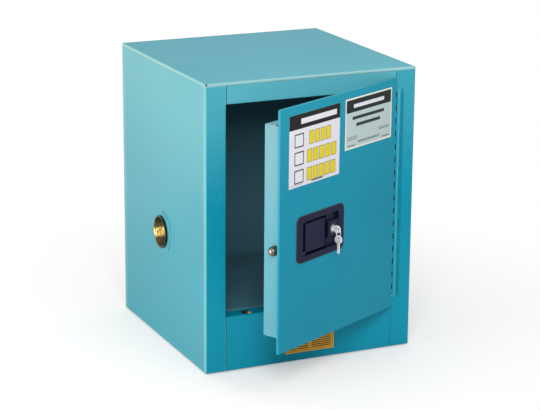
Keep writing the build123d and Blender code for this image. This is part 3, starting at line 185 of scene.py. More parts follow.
def bare_material(name):
    """A material with a Principled shader and nothing on it, and its Object coordinates."""
    material = bpy.data.materials.new(name)
    material.use_nodes = True
    tree = material.node_tree
    tree.nodes.clear()
    out = tree.nodes.new("ShaderNodeOutputMaterial")
    shader = tree.nodes.new("ShaderNodeBsdfPrincipled")
    tree.links.new(shader.outputs[0], out.inputs[0])
    place = tree.nodes.new("ShaderNodeTexCoord").outputs["Object"]
    return material, tree, shader, place


def raised(tree, height, distance, normal):
    """A Bump node whose full height is the given distance in metres."""
    node = tree.nodes.new("ShaderNodeBump")
    node.inputs["Strength"].default_value = 1.0
    node.inputs["Distance"].default_value = distance
    feed(tree, node.inputs["Height"], height)
    feed(tree, node.inputs["Normal"], normal)
    return node.outputs["Normal"]


def dress(material, *names):
    """Gives CAD nodes their finish."""
    for name in names:
        slots = nodes[name].data.materials
        slots.clear()
        slots.append(material)


def painted_steel(name, width, amount, colour=TEAL, thin=TEAL_THIN, sheen=TEAL_SHEEN, edge=TEAL_EDGE,
                  shine=COAT_SHINE, under=None, over=None):
    """The coat on folded sheet, paler along its folds: partly wear, partly a painted highlight where
    the rounded folds catch the light.

    The pale band is as wide and as strong as width and amount say. A function under(tree, place,
    tone, height) changes the coat's own colour and relief, and over(tree, place, tone) lays something
    on top of coat and pale folds.
    """
    material, tree, shader, place = bare_material(name)
    coat = placed_group(tree, powder_coat, Place=place, Colour=colour, Thin=thin, Faded=sheen, Shine=shine)
    wear_and_highlight = placed_group(tree, edge_wear_and_highlight, Place=place, Width=width, Amount=amount)
    tone, height = coat["Colour"], coat["Height"]
    if under:
        tone, height = under(tree, place, tone, height)
    # Pale folds: partly wear, partly a painted highlight where the folds catch the light.
    tone = blended(tree, wear_and_highlight["Mask"], tone, edge)
    if over:
        tone = over(tree, place, tone)
    feed(tree, shader.inputs["Base Color"], tone)
    feed(tree, shader.inputs["Roughness"], coat["Roughness"])
    feed(tree, shader.inputs["Normal"], raised(tree, height, COAT_RELIEF, wear_and_highlight["Normal"]))
    shader.inputs["IOR"].default_value = COAT_IOR
    return material


def lit_left_face(tree, place, tone, height):
    """Paints the outer face of the left wall paler, a painted sheen for the light that falls on it from
    the left.

    It is palest along its two upright corners, a painted highlight where the folds catch the light.
    """
    at = axes_of(tree, place)
    lit_coat = placed_group(tree, powder_coat, Place=place, Colour=(0.042, 0.216, 0.292, 1.0), Thin=TEAL_THIN,
                          Faded=(0.078, 0.308, 0.370, 1.0), Shine=COAT_SHINE)
    front_corner = eased(tree, at["Y"], 0.0159 - CASE_HALF, 0.0019 - CASE_HALF, 0.0, 0.60)
    back_corner = eased(tree, at["Y"], CASE_HALF - 0.0199, CASE_HALF - 0.0039, 0.0, 0.35)
    # Painted highlight along the two upright corners.
    corner_highlight = blended(tree, worked(tree, "ADD", front_corner, back_corner), lit_coat["Colour"],
                      (0.210, 0.400, 0.430, 1.0))
    # Painted sheen over the whole outer face of the left wall.
    outer_face = eased(tree, at["X"], 0.0008 - CASE_HALF, 0.0004 - CASE_HALF)
    return blended(tree, outer_face, tone, corner_highlight), height


def dark_seam_lines(tree, place, tone):
    """Darker lines on the header and sill along the joints with the stiles."""
    from_middle = worked(tree, "ABSOLUTE", axes_of(tree, place)["X"])
    dirt = eased(tree, from_middle, STILE_X - 0.0011, STILE_X - 0.0002)
    return blended(tree, dirt, tone, (0.002, 0.085, 0.120, 1.0))


def lit_top_rim(tree, place, tone):
    """The top's front and left folds are painted paler, a painted highlight, with a near black spot where
    the two meet, a painted shade for the gap between their ends.
    """
    at = axes_of(tree, place)
    front_fold = eased(tree, at["Y"], 0.0055 - CASE_HALF, 0.0037 - CASE_HALF, 0.0, 0.75)
    left_fold = eased(tree, at["X"], 0.0019 - CASE_HALF, 0.0011 - CASE_HALF, 0.0, 0.55)
    # Painted highlight along the front and left folds of the top.
    tone = blended(tree, worked(tree, "MAXIMUM", front_fold, left_fold), tone, (0.300, 0.500, 0.500, 1.0))
    from_corner = measured(tree, "DISTANCE", place, (-CASE_HALF, -CASE_HALF, CASE_TOP))
    # Painted shade: a dark spot at the front left corner, for the gap there.
    return blended(tree, eased(tree, from_corner, 0.0040, 0.0028), tone, (0.003, 0.014, 0.018, 1.0))


outer_paint = painted_steel("outer_paint", width=0.0020, amount=0.75, sheen=TEAL_BACK)
dress(outer_paint, "bottom_panel")
left_paint = painted_steel("left_paint", width=0.0020, amount=0.85, edge=(0.46, 0.66, 0.64, 1.0),
                           under=lit_left_face)
dress(left_paint, "side_panel_left")
front_paint = painted_steel("front_paint", width=0.0014, amount=0.85, sheen=(0.085, 0.350, 0.430, 1.0),
                            edge=(0.42, 0.68, 0.70, 1.0), over=dark_seam_lines)
dress(front_paint, "front_header", "front_sill")
top_paint = painted_steel("top_paint", width=0.0026, amount=0.95, edge=(0.68, 0.80, 0.75, 1.0),
                          over=lit_top_rim)
dress(top_paint, "top_panel")

# Back panel: a flat sheet, spot welded round its four sides to the flanges of the other panels.
# The electrodes leave shallow round dimples that show through the coat.
WELD_PITCH, WELD_IN, WELD_R, WELD_DEPTH = 0.0540, 0.0110, 0.0050, 0.00042


def from_origin(tree, first, second):
    """How far a point is from the origin: the root of the sum of its two squares."""
    second_square = worked(tree, "MULTIPLY", second, second)
    return worked(tree, "SQRT", worked(tree, "MULTIPLY_ADD", first, first, second_square))


def from_welds(tree, along, across, middle, half):
    """Distance to the nearest dimple of two rows.

    The rows run at half to each side of the middle, and in them the dimples repeat each pitch.
    """
    step = worked(tree, "FRACT", worked(tree, "DIVIDE", along, WELD_PITCH))
    lengthways = worked(tree, "MULTIPLY", worked(tree, "SUBTRACT", step, 0.5), WELD_PITCH)
    off_middle = worked(tree, "ABSOLUTE", worked(tree, "SUBTRACT", across, middle))
    return from_origin(tree, lengthways, worked(tree, "SUBTRACT", off_middle, half))


def dimpled(tree, place, tone, height):
    """Presses the welds' dimples into the outer face of the back, and shades them."""
    at = axes_of(tree, place)
    upright_rows = from_welds(tree, at["Z"], at["X"], 0.0, CASE_HALF - WELD_IN)
    level_rows = from_welds(tree, at["X"], at["Z"], CASE_TOP / 2, CASE_TOP / 2 - WELD_IN)
    nearest = worked(tree, "MINIMUM", upright_rows, level_rows)
    outer_face = worked(tree, "GREATER_THAN", at["Y"], CASE_HALF - 0.0004)
    dimple = worked(tree, "MULTIPLY", eased(tree, nearest, WELD_R, 0.4 * WELD_R), outer_face)
    shaded = blended(tree, worked(tree, "MULTIPLY", dimple, 0.5), tone, (0.001, 0.120, 0.190, 1.0))
    return shaded, worked(tree, "MULTIPLY_ADD", dimple, -WELD_DEPTH / COAT_RELIEF, height)


back_paint = painted_steel("back_paint", width=0.0020, amount=0.75, sheen=TEAL_BACK, under=dimpled)
dress(back_paint, "back_panel")

# Levelling feet: zinc plated steel, each a turned pad with an M10 stud that is screwed through
# a weld nut in the bottom panel.
FOOT_OFF = 0.1919       # from the middle, both ways
FOOT_AT = {"foot_front_left": (-FOOT_OFF, -FOOT_OFF), "foot_front_right": (FOOT_OFF, -FOOT_OFF),
           "foot_rear_left": (-FOOT_OFF, FOOT_OFF), "foot_rear_right": (FOOT_OFF, FOOT_OFF)}
PAD_R, PAD_TOP, STUD_R, STUD_TOP = 0.0150, 0.0050, 0.0050, 0.0300
M10_PITCH, M10_DEPTH = 0.0015, 0.0008
SHARP_ANGLE = math.radians(38.0)


def surface(name, points, material, wrap_u=False, wrap_v=True):
    """A mesh object of one material through an (n, m, 3) array of points.

    Each point is joined to its neighbours in both directions, and the last row or column to the
    first where wrap_u or wrap_v says so. Rows that shrink to one point are merged into a pole.
    """
    n, m = points.shape[:2]
    index = np.arange(n * m).reshape(n, m)
    u = np.arange(n if wrap_u else n - 1)
    v = np.arange(m if wrap_v else m - 1)
    a, b = np.meshgrid(u, v, indexing="ij")
    a2, b2 = (a + 1) % n, (b + 1) % m
    quads = np.stack([index[a, b], index[a, b2], index[a2, b2], index[a2, b]], axis=-1).reshape(-1, 4)
    mesh = bpy.data.meshes.new(name)
    mesh.from_pydata(points.reshape(-1, 3).tolist(), [], quads.tolist())
    piece = bpy.data.objects.new(name, mesh)
    bpy.context.scene.collection.objects.link(piece)
    work = bmesh.new()
    work.from_mesh(mesh)
    bmesh.ops.remove_doubles(work, verts=work.verts, dist=1e-7)
    bmesh.ops.recalc_face_normals(work, faces=work.faces)
    work.to_mesh(mesh)
    work.free()
    mesh.polygons.foreach_set("use_smooth", np.ones(len(mesh.polygons), dtype=bool))
    mesh.set_sharp_from_angle(angle=SHARP_ANGLE)
    mesh.materials.append(material)
    return piece


def thread_dip(angle, along, pitch, depth, start, end):
    """How deep a thread cuts at an angle and a height.

    It is the depth times a V of period one pitch, cut flat at crest and root, that advances a
    pitch a turn and fades out over one pitch at both ends.
    """
    phase = (along / pitch - angle / (2 * np.pi)) % 1.0
    vee = np.clip(1.15 * np.abs(2 * phase - 1) - 0.1, 0.0, 1.0)
    fade = np.clip((along - start) / pitch, 0, 1) * np.clip((end - along) / pitch, 0, 1)
    return depth * vee * fade


def turned(heights, radii, sides, dip=None):
    """Points of a profile turned about the first axis: (height, radius cos a, radius sin a).

    The radius is the profile's, less what dip(angle, height) takes off.
    """
    angle = np.linspace(0.0, 2 * np.pi, sides, endpoint=False)
    h, a = np.meshgrid(np.asarray(heights), angle, indexing="ij")
    r = np.repeat(np.asarray(radii)[:, None], sides, axis=1)
    if dip is not None:
        r = np.maximum(r - dip(a, h), 0.0)
    return np.stack([h, r * np.cos(a), r * np.sin(a)], axis=-1)


def upright(points, x, y):
    """Lays turned points along +Z at a place in plan."""
    return np.stack([points[..., 1] + x, points[..., 2] + y, points[..., 0]], axis=-1)


def plated_steel(name, light, dark, shine):
    """Zinc: crystal patches a few millimetres wide under fine scratches."""
    material, tree, shader, place = bare_material(name)
    cells = tree.nodes.new("ShaderNodeTexVoronoi")
    feed(tree, cells.inputs["Vector"], place)
    cells.inputs["Scale"].default_value = 240.0
    patch = eased(tree, cells.outputs["Distance"], 0.0, 0.8)
    scratch = clouds(tree, place, 1800.0)
    wear_and_highlight = placed_group(tree, edge_wear_and_highlight, Place=place, Width=0.0004, Amount=0.5, Break=700.0)
    tone = blended(tree, patch, light, dark)
    feed(tree, shader.inputs["Base Color"], blended(tree, wear_and_highlight["Mask"], tone, (0.80, 0.80, 0.82, 1.0)))
    feed(tree, shader.inputs["Roughness"], worked(tree, "MULTIPLY_ADD", scratch, 0.18, shine))
    feed(tree, shader.inputs["Normal"], raised(tree, scratch, 0.00001, wear_and_highlight["Normal"]))
    shader.inputs["Metallic"].default_value = 1.0
    return material


zinc = plated_steel("zinc_plate", (0.60, 0.61, 0.63, 1.0), (0.38, 0.39, 0.40, 1.0), 0.26)
pad_h = [0.0, 0.0, 0.0004, 0.0035, 0.0043, 0.0048, PAD_TOP, PAD_TOP, PAD_TOP + 0.0004]
pad_r = [0.0, PAD_R - 0.0004, PAD_R, PAD_R, PAD_R - 0.0002, PAD_R - 0.0008, PAD_R - 0.0015, 0.0068,
         STUD_R + 0.0002]
stud_h = np.linspace(PAD_TOP + 0.0008, STUD_TOP - 0.0008, 150)
heights = np.concatenate([pad_h, stud_h, [STUD_TOP, STUD_TOP]])
radii = np.concatenate([pad_r, np.full_like(stud_h, STUD_R), [STUD_R - 0.0008, 0.0]])


def foot_dip(angle, along):
    """The M10 thread, from just above the pad to just below the stud's end."""
    return thread_dip(angle, along, M10_PITCH, M10_DEPTH, PAD_TOP + 0.0010, STUD_TOP - 0.0003)


for foot, (x, y) in FOOT_AT.items():
    stud = surface(foot + "_turned", upright(turned(heights, radii, 40, foot_dip), x, y), zinc)
    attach(stud, foot)
    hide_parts(foot)
dress(zinc, "foot_nuts")

# Spacer channels: bare zinc plated steel, spot welded between the outer sheet and the liner to
# keep the air space. They are out of sight in the finished cabinet.
dress(zinc, "wall_spacers")

# Liner and sump: the inner walls are one folded sheet with a separate top, and the sump pan is
# let in below the sill to catch spills. Inside, the coat is painted a greyer, paler teal than outside,
# painted light for the dim fill that reaches in.
# Painted light: a greyer, paler teal inside, for the dim fill.
inner_paint = painted_steel("inner_paint", width=0.0011, amount=0.35, colour=(0.085, 0.205, 0.262, 1.0),
                            thin=(0.12, 0.29, 0.35, 1.0), sheen=(0.105, 0.225, 0.280, 1.0),
                            edge=(0.16, 0.44, 0.50, 1.0), shine=0.34)
dress(inner_paint, "liner_shell", "liner_top", "sump_pan", "vent_rings")

# Vents: a painted steel collar with an octagonal plate is welded through both walls. A turned
# brass sleeve, threaded for the pipe or plug, stands out of it and has a pierced brass screen at
# its inner end. The right one is closed by a brass plug.
VENT_Y, VENT_Z = 0.003, 0.223
SLEEVE_OUT, SLEEVE_IN = 0.2223, 0.1913
SLEEVE_R, BORE_R, LIP_R, SEAT_R = 0.03195, 0.0290, 0.0278, 0.0296
LIP_T, SEAT_DEPTH = 0.0012, 0.0015      # the screen's lip, and how deep the screen sits
VENT_PITCH, VENT_DEPTH = 0.0022, 0.0009
dress(left_paint, "vent_collar_left")
dress(outer_paint, "vent_collar_right")


def centred(tree, place, centre):
    """The X, Y and Z of a place, measured from a point."""
    node = tree.nodes.new("ShaderNodeMapping")
    feed(tree, node.inputs["Vector"], place)
    node.inputs["Location"].default_value = tuple(-c for c in centre)
    return axes_of(tree, node.outputs[0])


def between(tree, value, start, full, still, end):
    """1 from full to still, eased to 0 at start and at end."""
    return worked(tree, "MULTIPLY", eased(tree, value, start, full), eased(tree, value, end, still))


def turned_brass(name, shine, bore):
    """Brass with lathe marks along X, browned in patches.

    In a bore it is painted dark, a little by tarnish and mostly a painted shade inside the tube, but
    for a band below the middle that is painted bright, a painted reflection; its end face and outside
    are painted near black, a painted shade round the mouth.
    """
    material, tree, shader, place = bare_material(name)
    at = centred(tree, place, (0.0, VENT_Y, VENT_Z))
    marks = worked(tree, "SINE", worked(tree, "MULTIPLY", at["X"], 9000.0))
    brown = eased(tree, clouds(tree, place, 110.0, 4.0, 0.6), 0.34, 0.66)
    darkest = (0.30, 0.21, 0.09, 1.0)
    if bore:
        # Painted reflection: a bright band low in the bore; the rest of the bore is painted dark as shade.
        reflection_band = between(tree, at["Z"], -0.019, -0.013, -0.003, 0.003)
        tarnish_and_shade = worked(tree, "MULTIPLY_ADD", brown, 0.2, 0.8)
        brown = worked(tree, "MULTIPLY_ADD", reflection_band, -0.9, tarnish_and_shade, clamp=True)
        darkest = (0.055, 0.050, 0.030, 1.0)
    tone = blended(tree, brown, (0.80, 0.58, 0.22, 1.0), darkest)
    wear_and_highlight = placed_group(tree, edge_wear_and_highlight, Place=place, Width=0.0005, Amount=0.4, Break=500.0)
    tone = blended(tree, wear_and_highlight["Mask"], tone, (0.70, 0.56, 0.30, 1.0))
    if bore:
        # Painted shade: near black on the mouth's end face and outside.
        mouth_shade = eased(tree, from_origin(tree, at["Y"], at["Z"]), BORE_R + 0.0004, BORE_R + 0.0010)
        tone = blended(tree, mouth_shade, tone, (0.020, 0.026, 0.022, 1.0))
    feed(tree, shader.inputs["Base Color"], tone)
    feed(tree, shader.inputs["Roughness"], eased(tree, brown, 0.0, 1.0, shine, shine + 0.2))
    feed(tree, shader.inputs["Normal"], raised(tree, marks, 0.000006, wear_and_highlight["Normal"]))
    shader.inputs["Metallic"].default_value = 1.0
    return material


def lying(points, y, z, hand=1.0):
    """Lays turned points along X at a place; a hand of -1 mirrors them to the left."""
    return np.stack([hand * points[..., 0], points[..., 1] + y, points[..., 2] + z], axis=-1)


sleeve_brass = turned_brass("sleeve_brass", shine=0.24, bore=True)
plain_brass = turned_brass("plain_brass", shine=0.22, bore=False)
mouth_x = [SLEEVE_OUT - 0.0004, SLEEVE_OUT, SLEEVE_OUT, SLEEVE_OUT - 0.0006]
mouth_r = [SLEEVE_R, SLEEVE_R - 0.0004, BORE_R + 0.0006, BORE_R]
lip_x, seat_x = SLEEVE_IN + SEAT_DEPTH + LIP_T, SLEEVE_IN + SEAT_DEPTH
bore_x = np.linspace(SLEEVE_OUT - 0.0012, lip_x + 0.0007, 110)
sleeve_x = np.concatenate([mouth_x, bore_x, [lip_x, lip_x, seat_x, seat_x, SLEEVE_IN, SLEEVE_IN]])
sleeve_r = np.concatenate([mouth_r, np.full_like(bore_x, BORE_R),
                           [BORE_R, LIP_R, LIP_R, SEAT_R, SEAT_R, SLEEVE_R]])


def sleeve_dip(angle, along):
    """The pipe thread cuts outwards into the wall, in the bore alone."""
    cut = thread_dip(angle, along, VENT_PITCH, VENT_DEPTH, lip_x + 0.0009, SLEEVE_OUT - 0.0012)
    row = np.arange(along.shape[0])[:, None] - len(mouth_x)
    return -cut * ((row >= 0) & (row < len(bore_x)))


for side, hand in (("left", -1.0), ("right", 1.0)):
    ring = turned(sleeve_x, sleeve_r, 96, sleeve_dip)
    sleeve = surface("vent_sleeve_" + side, lying(ring, VENT_Y, VENT_Z, hand), sleeve_brass, wrap_u=True)
    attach(sleeve, "cabinet")
    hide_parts("flame_arrester_" + side)
dress(plain_brass, "flame_screen_left", "flame_screen_right", "vent_bung")

# Ground screw: an M6 brass bolt with its head in the air gap, held by a nut and washer on the
# right side, low at the back. Its end is threaded for the wire's own nut.
GROUND_Y, GROUND_Z = 0.170, 0.060
HEAD_IN, HEAD_OUT, THREAD_FROM, SCREW_OUT = 0.2107, 0.2147, 0.2229, 0.2309
HEAD_FLAT, M6_R = 0.0050, 0.0030        # half the width across flats, and the thread's radius
HEAD_R = 0.00577                        # over the hexagon's corners
M6_PITCH, M6_DEPTH = 0.001, 0.00055
thread_x = np.linspace(THREAD_FROM + 0.0004, SCREW_OUT - 0.0005, 90)
ground_x = np.concatenate([[HEAD_IN, HEAD_IN, HEAD_OUT, HEAD_OUT, THREAD_FROM], thread_x,
                           [SCREW_OUT, SCREW_OUT]])
ground_r = np.concatenate([[0.0, HEAD_R, HEAD_R, M6_R - 0.0002, M6_R - 0.0002],
                           np.full_like(thread_x, M6_R), [M6_R - 0.0005, 0.0]])


def ground_dip(angle, along):
    """A thread on the end, and six flats on the head: the circle's radius less the hexagon's."""
    cut = thread_dip(angle, along, M6_PITCH, M6_DEPTH, THREAD_FROM + 0.0003, SCREW_OUT - 0.0003)
    hexagon = HEAD_FLAT / np.cos((angle % (np.pi / 3)) - np.pi / 6)
    return np.where(along < HEAD_OUT + 0.0001, np.clip(HEAD_R - hexagon, 0.0, 0.0008), cut)


screw = turned(ground_x, ground_r, 36, ground_dip)
ground = surface("ground_screw", lying(screw, GROUND_Y, GROUND_Z), plain_brass)
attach(ground, "cabinet")
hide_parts("ground_stud")
dress(plain_brass, "ground_nut")

# Shelf: four slotted rails welded to the liner, four clips hooked into them, and a folded shelf
# that lies on the clips, coated like the liner.
dress(inner_paint, "shelf_rails", "shelf_brackets", "shelf")

# Hinge: a piano hinge, one leaf riveted in the jamb and one on the door, with its knuckles in
# turn round a steel pin. It is coated in place, so paint fills it; the side of each frame knuckle
# that turns in its notch is painted near black, a painted shade for the gap in the notch.
HINGE_X, HINGE_Y = 0.174, -0.2194


def shaded_knuckles(tree, place, tone):
    """Darkens the inner side of the barrel, unevenly: a painted shade for the gaps in the notches."""
    at = centred(tree, place, (HINGE_X, HINGE_Y, 0.0))
    barrel = worked(tree, "MULTIPLY", eased(tree, at["X"], 0.0001, -0.0007),
                    eased(tree, at["Y"], 0.0030, 0.0022))
    # Painted shade in the notches beside the frame knuckles.
    notch_shade = worked(tree, "MULTIPLY", barrel, eased(tree, clouds(tree, place, 500.0), 0.2, 0.4, 0.8, 1.0))
    return blended(tree, notch_shade, tone, (0.010, 0.020, 0.024, 1.0))


def barrel_light_and_shadow(tree, place, tone, height):
    """Paints the stile pale beside the knuckles, a painted highlight, and a darker line down past that, a
    painted shadow cast by the barrel.
    """
    at = centred(tree, place, (HINGE_X, HINGE_Y, 0.0))
    beside = worked(tree, "MULTIPLY", worked(tree, "LESS_THAN", at["Y"], 0.006),
                    between(tree, at["Z"], 0.100, 0.112, 0.512, 0.522))
    # Painted highlight on the stile next to the barrel.
    stile_highlight = worked(tree, "MULTIPLY", beside, eased(tree, at["X"], 0.0100, 0.0085, 0.0, 0.6))
    tone = blended(tree, stile_highlight, tone, (0.060, 0.420, 0.540, 1.0))
    # Painted shadow of the barrel: a darker line down the stile.
    barrel_shadow_line = worked(tree, "MULTIPLY", between(tree, at["X"], 0.0095, 0.0116, 0.0158, 0.0197), beside)
    barrel_shadow = worked(tree, "MULTIPLY", barrel_shadow_line, eased(tree, clouds(tree, place, 90.0), 0.25, 0.6, 0.6, 0.95))
    return blended(tree, barrel_shadow, tone, (0.0004, 0.165, 0.245, 1.0)), height


hinge_paint = painted_steel("hinge_paint", width=0.0006, amount=0.6, over=shaded_knuckles)
dress(hinge_paint, "hinge_frame_leaf")
right_paint = painted_steel("right_paint", width=0.0011, amount=0.45, sheen=(0.036, 0.284, 0.376, 1.0),
                            under=barrel_light_and_shadow)
dress(right_paint, "side_panel_right")
dress(zinc, "hinge_pin")
dress(outer_paint, "hinge_frame_rivets")

# Door: a front sheet with folded edges, notched for the frame's knuckles, over a deep pan with a
# rib on top and a channel that stiffens it, spot welded and coated together. It stands 27
# degrees open, so patterns on it are laid out closed and turned about the hinge.
AJAR = math.radians(27.0)
# The door's coat is painted a shade darker than the cabinet's: painted shade.
door_paint = painted_steel("door_paint", width=0.0010, amount=0.6, colour=(0.0010, 0.210, 0.318, 1.0),
                           sheen=(0.010, 0.235, 0.340, 1.0))
dress(door_paint, "door_outer_panel", "door_stiffener", "hinge_door_leaf", "hinge_door_rivets")
# The pan's coat is painted paler than the cabinet's, a painted sheen for the light it catches from the
# left.
pan_paint = painted_steel("pan_paint", width=0.0012, amount=0.7, colour=(0.090, 0.272, 0.355, 1.0),
                          sheen=(0.130, 0.315, 0.370, 1.0), edge=(0.45, 0.68, 0.70, 1.0))
dress(pan_paint, "door_inner_pan")


def ajar(points):
    """Turns points laid out on the closed door to where the door stands."""
    c, s = math.cos(AJAR), math.sin(AJAR)
    x, y = points[..., 0] - HINGE_X, points[..., 1] - HINGE_Y
    return np.stack([HINGE_X + c * x - s * y, HINGE_Y + s * x + c * y, points[..., 2]], axis=-1)


def closed_place(tree, place):
    """The X, Y and Z of a place on the door, turned back to where the closed door has it."""
    node = tree.nodes.new("ShaderNodeMapping")
    feed(tree, node.inputs["Vector"], place)
    c, s = math.cos(-AJAR), math.sin(-AJAR)
    node.inputs["Rotation"].default_value = (0.0, 0.0, -AJAR)
    node.inputs["Location"].default_value = (HINGE_X - (c * HINGE_X - s * HINGE_Y),
                                             HINGE_Y - (s * HINGE_X + c * HINGE_Y), 0.0)
    return axes_of(tree, node.outputs[0])


# Latch: bezel and paddle moulded in blue black plastic with a fine leather grain; a thin dark red
# sealing lip shows round the bezel. The bezel is clamped from behind with four screws.
LATCH_X, LATCH_Z = -0.0658, 0.2905
BEZEL_W, BEZEL_H, BEZEL_R = 0.142, 0.088, 0.012
CUP_EDGE, CUP_DEEP = -0.2225, -0.2140    # along Y, on the closed door
PLASTIC_IOR = 1.22

# Rounded block of print or trim on a plane: 1 inside, 0 outside, with an edge of 0.1 mm.
flat_block, given, made = new_group(
    "flat_block",
    [(label, NUMBER, 0.0) for label in ("Across", "Up", "Centre Across", "Centre Up", "Width", "Height",
                                        "Corner")],
    [("Mask", NUMBER), ("Outside", NUMBER)])


def beyond(tree, at, centre, size, corner):
    """How far a coordinate is beyond the straight part of a side, or less than 0 within it."""
    off = worked(tree, "ABSOLUTE", worked(tree, "SUBTRACT", at, centre))
    straight = worked(tree, "SUBTRACT", worked(tree, "MULTIPLY", size, 0.5), corner)
    return worked(tree, "SUBTRACT", off, straight)


across = beyond(flat_block, given["Across"], given["Centre Across"], given["Width"], given["Corner"])
up = beyond(flat_block, given["Up"], given["Centre Up"], given["Height"], given["Corner"])
round_part = from_origin(flat_block, worked(flat_block, "MAXIMUM", across, 0.0),
                         worked(flat_block, "MAXIMUM", up, 0.0))
inner_part = worked(flat_block, "MINIMUM", worked(flat_block, "MAXIMUM", across, up), 0.0)
from_core = worked(flat_block, "ADD", round_part, inner_part)
outside = worked(flat_block, "SUBTRACT", from_core, given["Corner"])
feed(flat_block, made["Outside"], outside)
feed(flat_block, made["Mask"], eased(flat_block, outside, 0.00005, -0.00005))


def moulded_plastic(name, lip):
    """Plastic with a leather grain, paler on its edges, partly whitening and partly a painted highlight.

    With a lip, the rim of the bezel is dark red where the seal shows, and the cup is painted near
    black towards its bottom, a painted shade in the recess.
    """
    material, tree, shader, place = bare_material(name)
    grain = clouds(tree, place, 900.0, 3.0, 0.6)
    wear_and_highlight = placed_group(tree, edge_wear_and_highlight, Place=place, Width=0.0007, Amount=0.6, Break=320.0)
    tone = blended(tree, eased(tree, grain, 0.35, 0.7), (0.002, 0.004, 0.022, 1.0),
                   (0.005, 0.009, 0.036, 1.0))
    tone = blended(tree, wear_and_highlight["Mask"], tone, (0.045, 0.055, 0.110, 1.0))
    if lip:
        at = closed_place(tree, place)
        rim = placed_group(tree, flat_block, Across=at["X"], Up=at["Z"], Centre_Across=LATCH_X,
                           Centre_Up=LATCH_Z, Width=BEZEL_W, Height=BEZEL_H, Corner=BEZEL_R)
        on_lip = eased(tree, rim["Outside"], -0.0013, -0.0008)
        tone = blended(tree, on_lip, tone, (0.055, 0.012, 0.016, 1.0))
        # Painted shade: near black deep in the cup.
        cup_shade = eased(tree, at["Y"], CUP_EDGE, CUP_DEEP, 0.0, 0.9)
        tone = blended(tree, cup_shade, tone, (0.0006, 0.0008, 0.0022, 1.0))
    feed(tree, shader.inputs["Base Color"], tone)
    feed(tree, shader.inputs["Roughness"], eased(tree, grain, 0.3, 0.7, 0.34, 0.46))
    feed(tree, shader.inputs["Normal"], raised(tree, grain, 0.00003, wear_and_highlight["Normal"]))
    shader.inputs["IOR"].default_value = PLASTIC_IOR
    return material


dress(moulded_plastic("bezel_plastic", lip=True), "latch_bezel")
dress(moulded_plastic("paddle_plastic", lip=False), "paddle")
dress(zinc, "latch_clamp", "latch_screws", "paddle_pin", "bolt_guide", "strike_plate")

# Springs: music wire, wound on a mandrel. One twists round the paddle's pin and closes it, one
# presses on the end of the bolt.
WIRE_R = 0.0006
PIVOT_X, PIVOT_Y, TWIST_FOOT = -0.1033, -0.2149, 0.3025
BOLT_TAIL, BOLT_Y, BOLT_Z, PRESS_GAP = -0.150, -0.2019, 0.278, 0.0003


def wound_wire(radius, pitch, turns, sides=10, steps=40):
    """Points of a wire along a helix.

    The path is (radius cos t, radius sin t, pitch t / 2 pi) and a circle of the wire's radius
    stands square to it. The first and last circle shrink to a point, which closes the ends.
    """
    t = np.linspace(0.0, 2 * np.pi * turns, int(steps * turns) + 1)
    t = np.concatenate([t[:1], t, t[-1:]])
    path = np.stack([radius * np.cos(t), radius * np.sin(t), pitch * t / (2 * np.pi)], axis=-1)
    rise = np.full_like(t, pitch / (2 * np.pi))
    along = np.stack([-radius * np.sin(t), radius * np.cos(t), rise], axis=-1)
    along /= np.linalg.norm(along, axis=1, keepdims=True)
    outward = np.stack([np.cos(t), np.sin(t), np.zeros_like(t)], axis=-1)
    other = np.cross(along, outward)
    a = np.linspace(0.0, 2 * np.pi, sides, endpoint=False)
    size = np.full(len(t), WIRE_R)
    size[0] = size[-1] = 0.0
    ring = outward[:, None] * np.cos(a)[None, :, None] + other[:, None] * np.sin(a)[None, :, None]
    return path[:, None] + size[:, None, None] * ring


def spring_piece(name, points, body):
    """A wound spring on a body, in place of its node; its points are laid out on the closed door."""
    spring = surface(name + "_wound", ajar(points), zinc)
    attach(spring, body)
    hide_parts(name)


twist = wound_wire(radius=0.0031, pitch=0.0019, turns=6)
spring_piece("paddle_spring", twist + np.array([PIVOT_X, PIVOT_Y, TWIST_FOOT]), "door")
press = wound_wire(radius=0.0076, pitch=0.002, turns=3)
press_from = BOLT_TAIL + PRESS_GAP + WIRE_R
spring_piece("bolt_spring", np.stack([press_from + press[..., 2], BOLT_Y + press[..., 1],
                                      BOLT_Z - press[..., 0]], axis=-1), "latch_bolt")

# Bolt: turned steel with a bevelled nose, bright on its edges, partly where the strike rubs it and
# partly a painted highlight. A neck and a flat strap with a window join it to the paddle's arm.
NOSE_TIP, NOSE_END, BOLT_R = -0.186, -0.1772, 0.0092
TAIL_T, TAIL_NECK = 0.004, 0.0045
WINDOW = ((-0.1123, -0.0998), (0.278, 0.290))
STRAP = ((-0.1203, -0.0918), (0.268, 0.294))


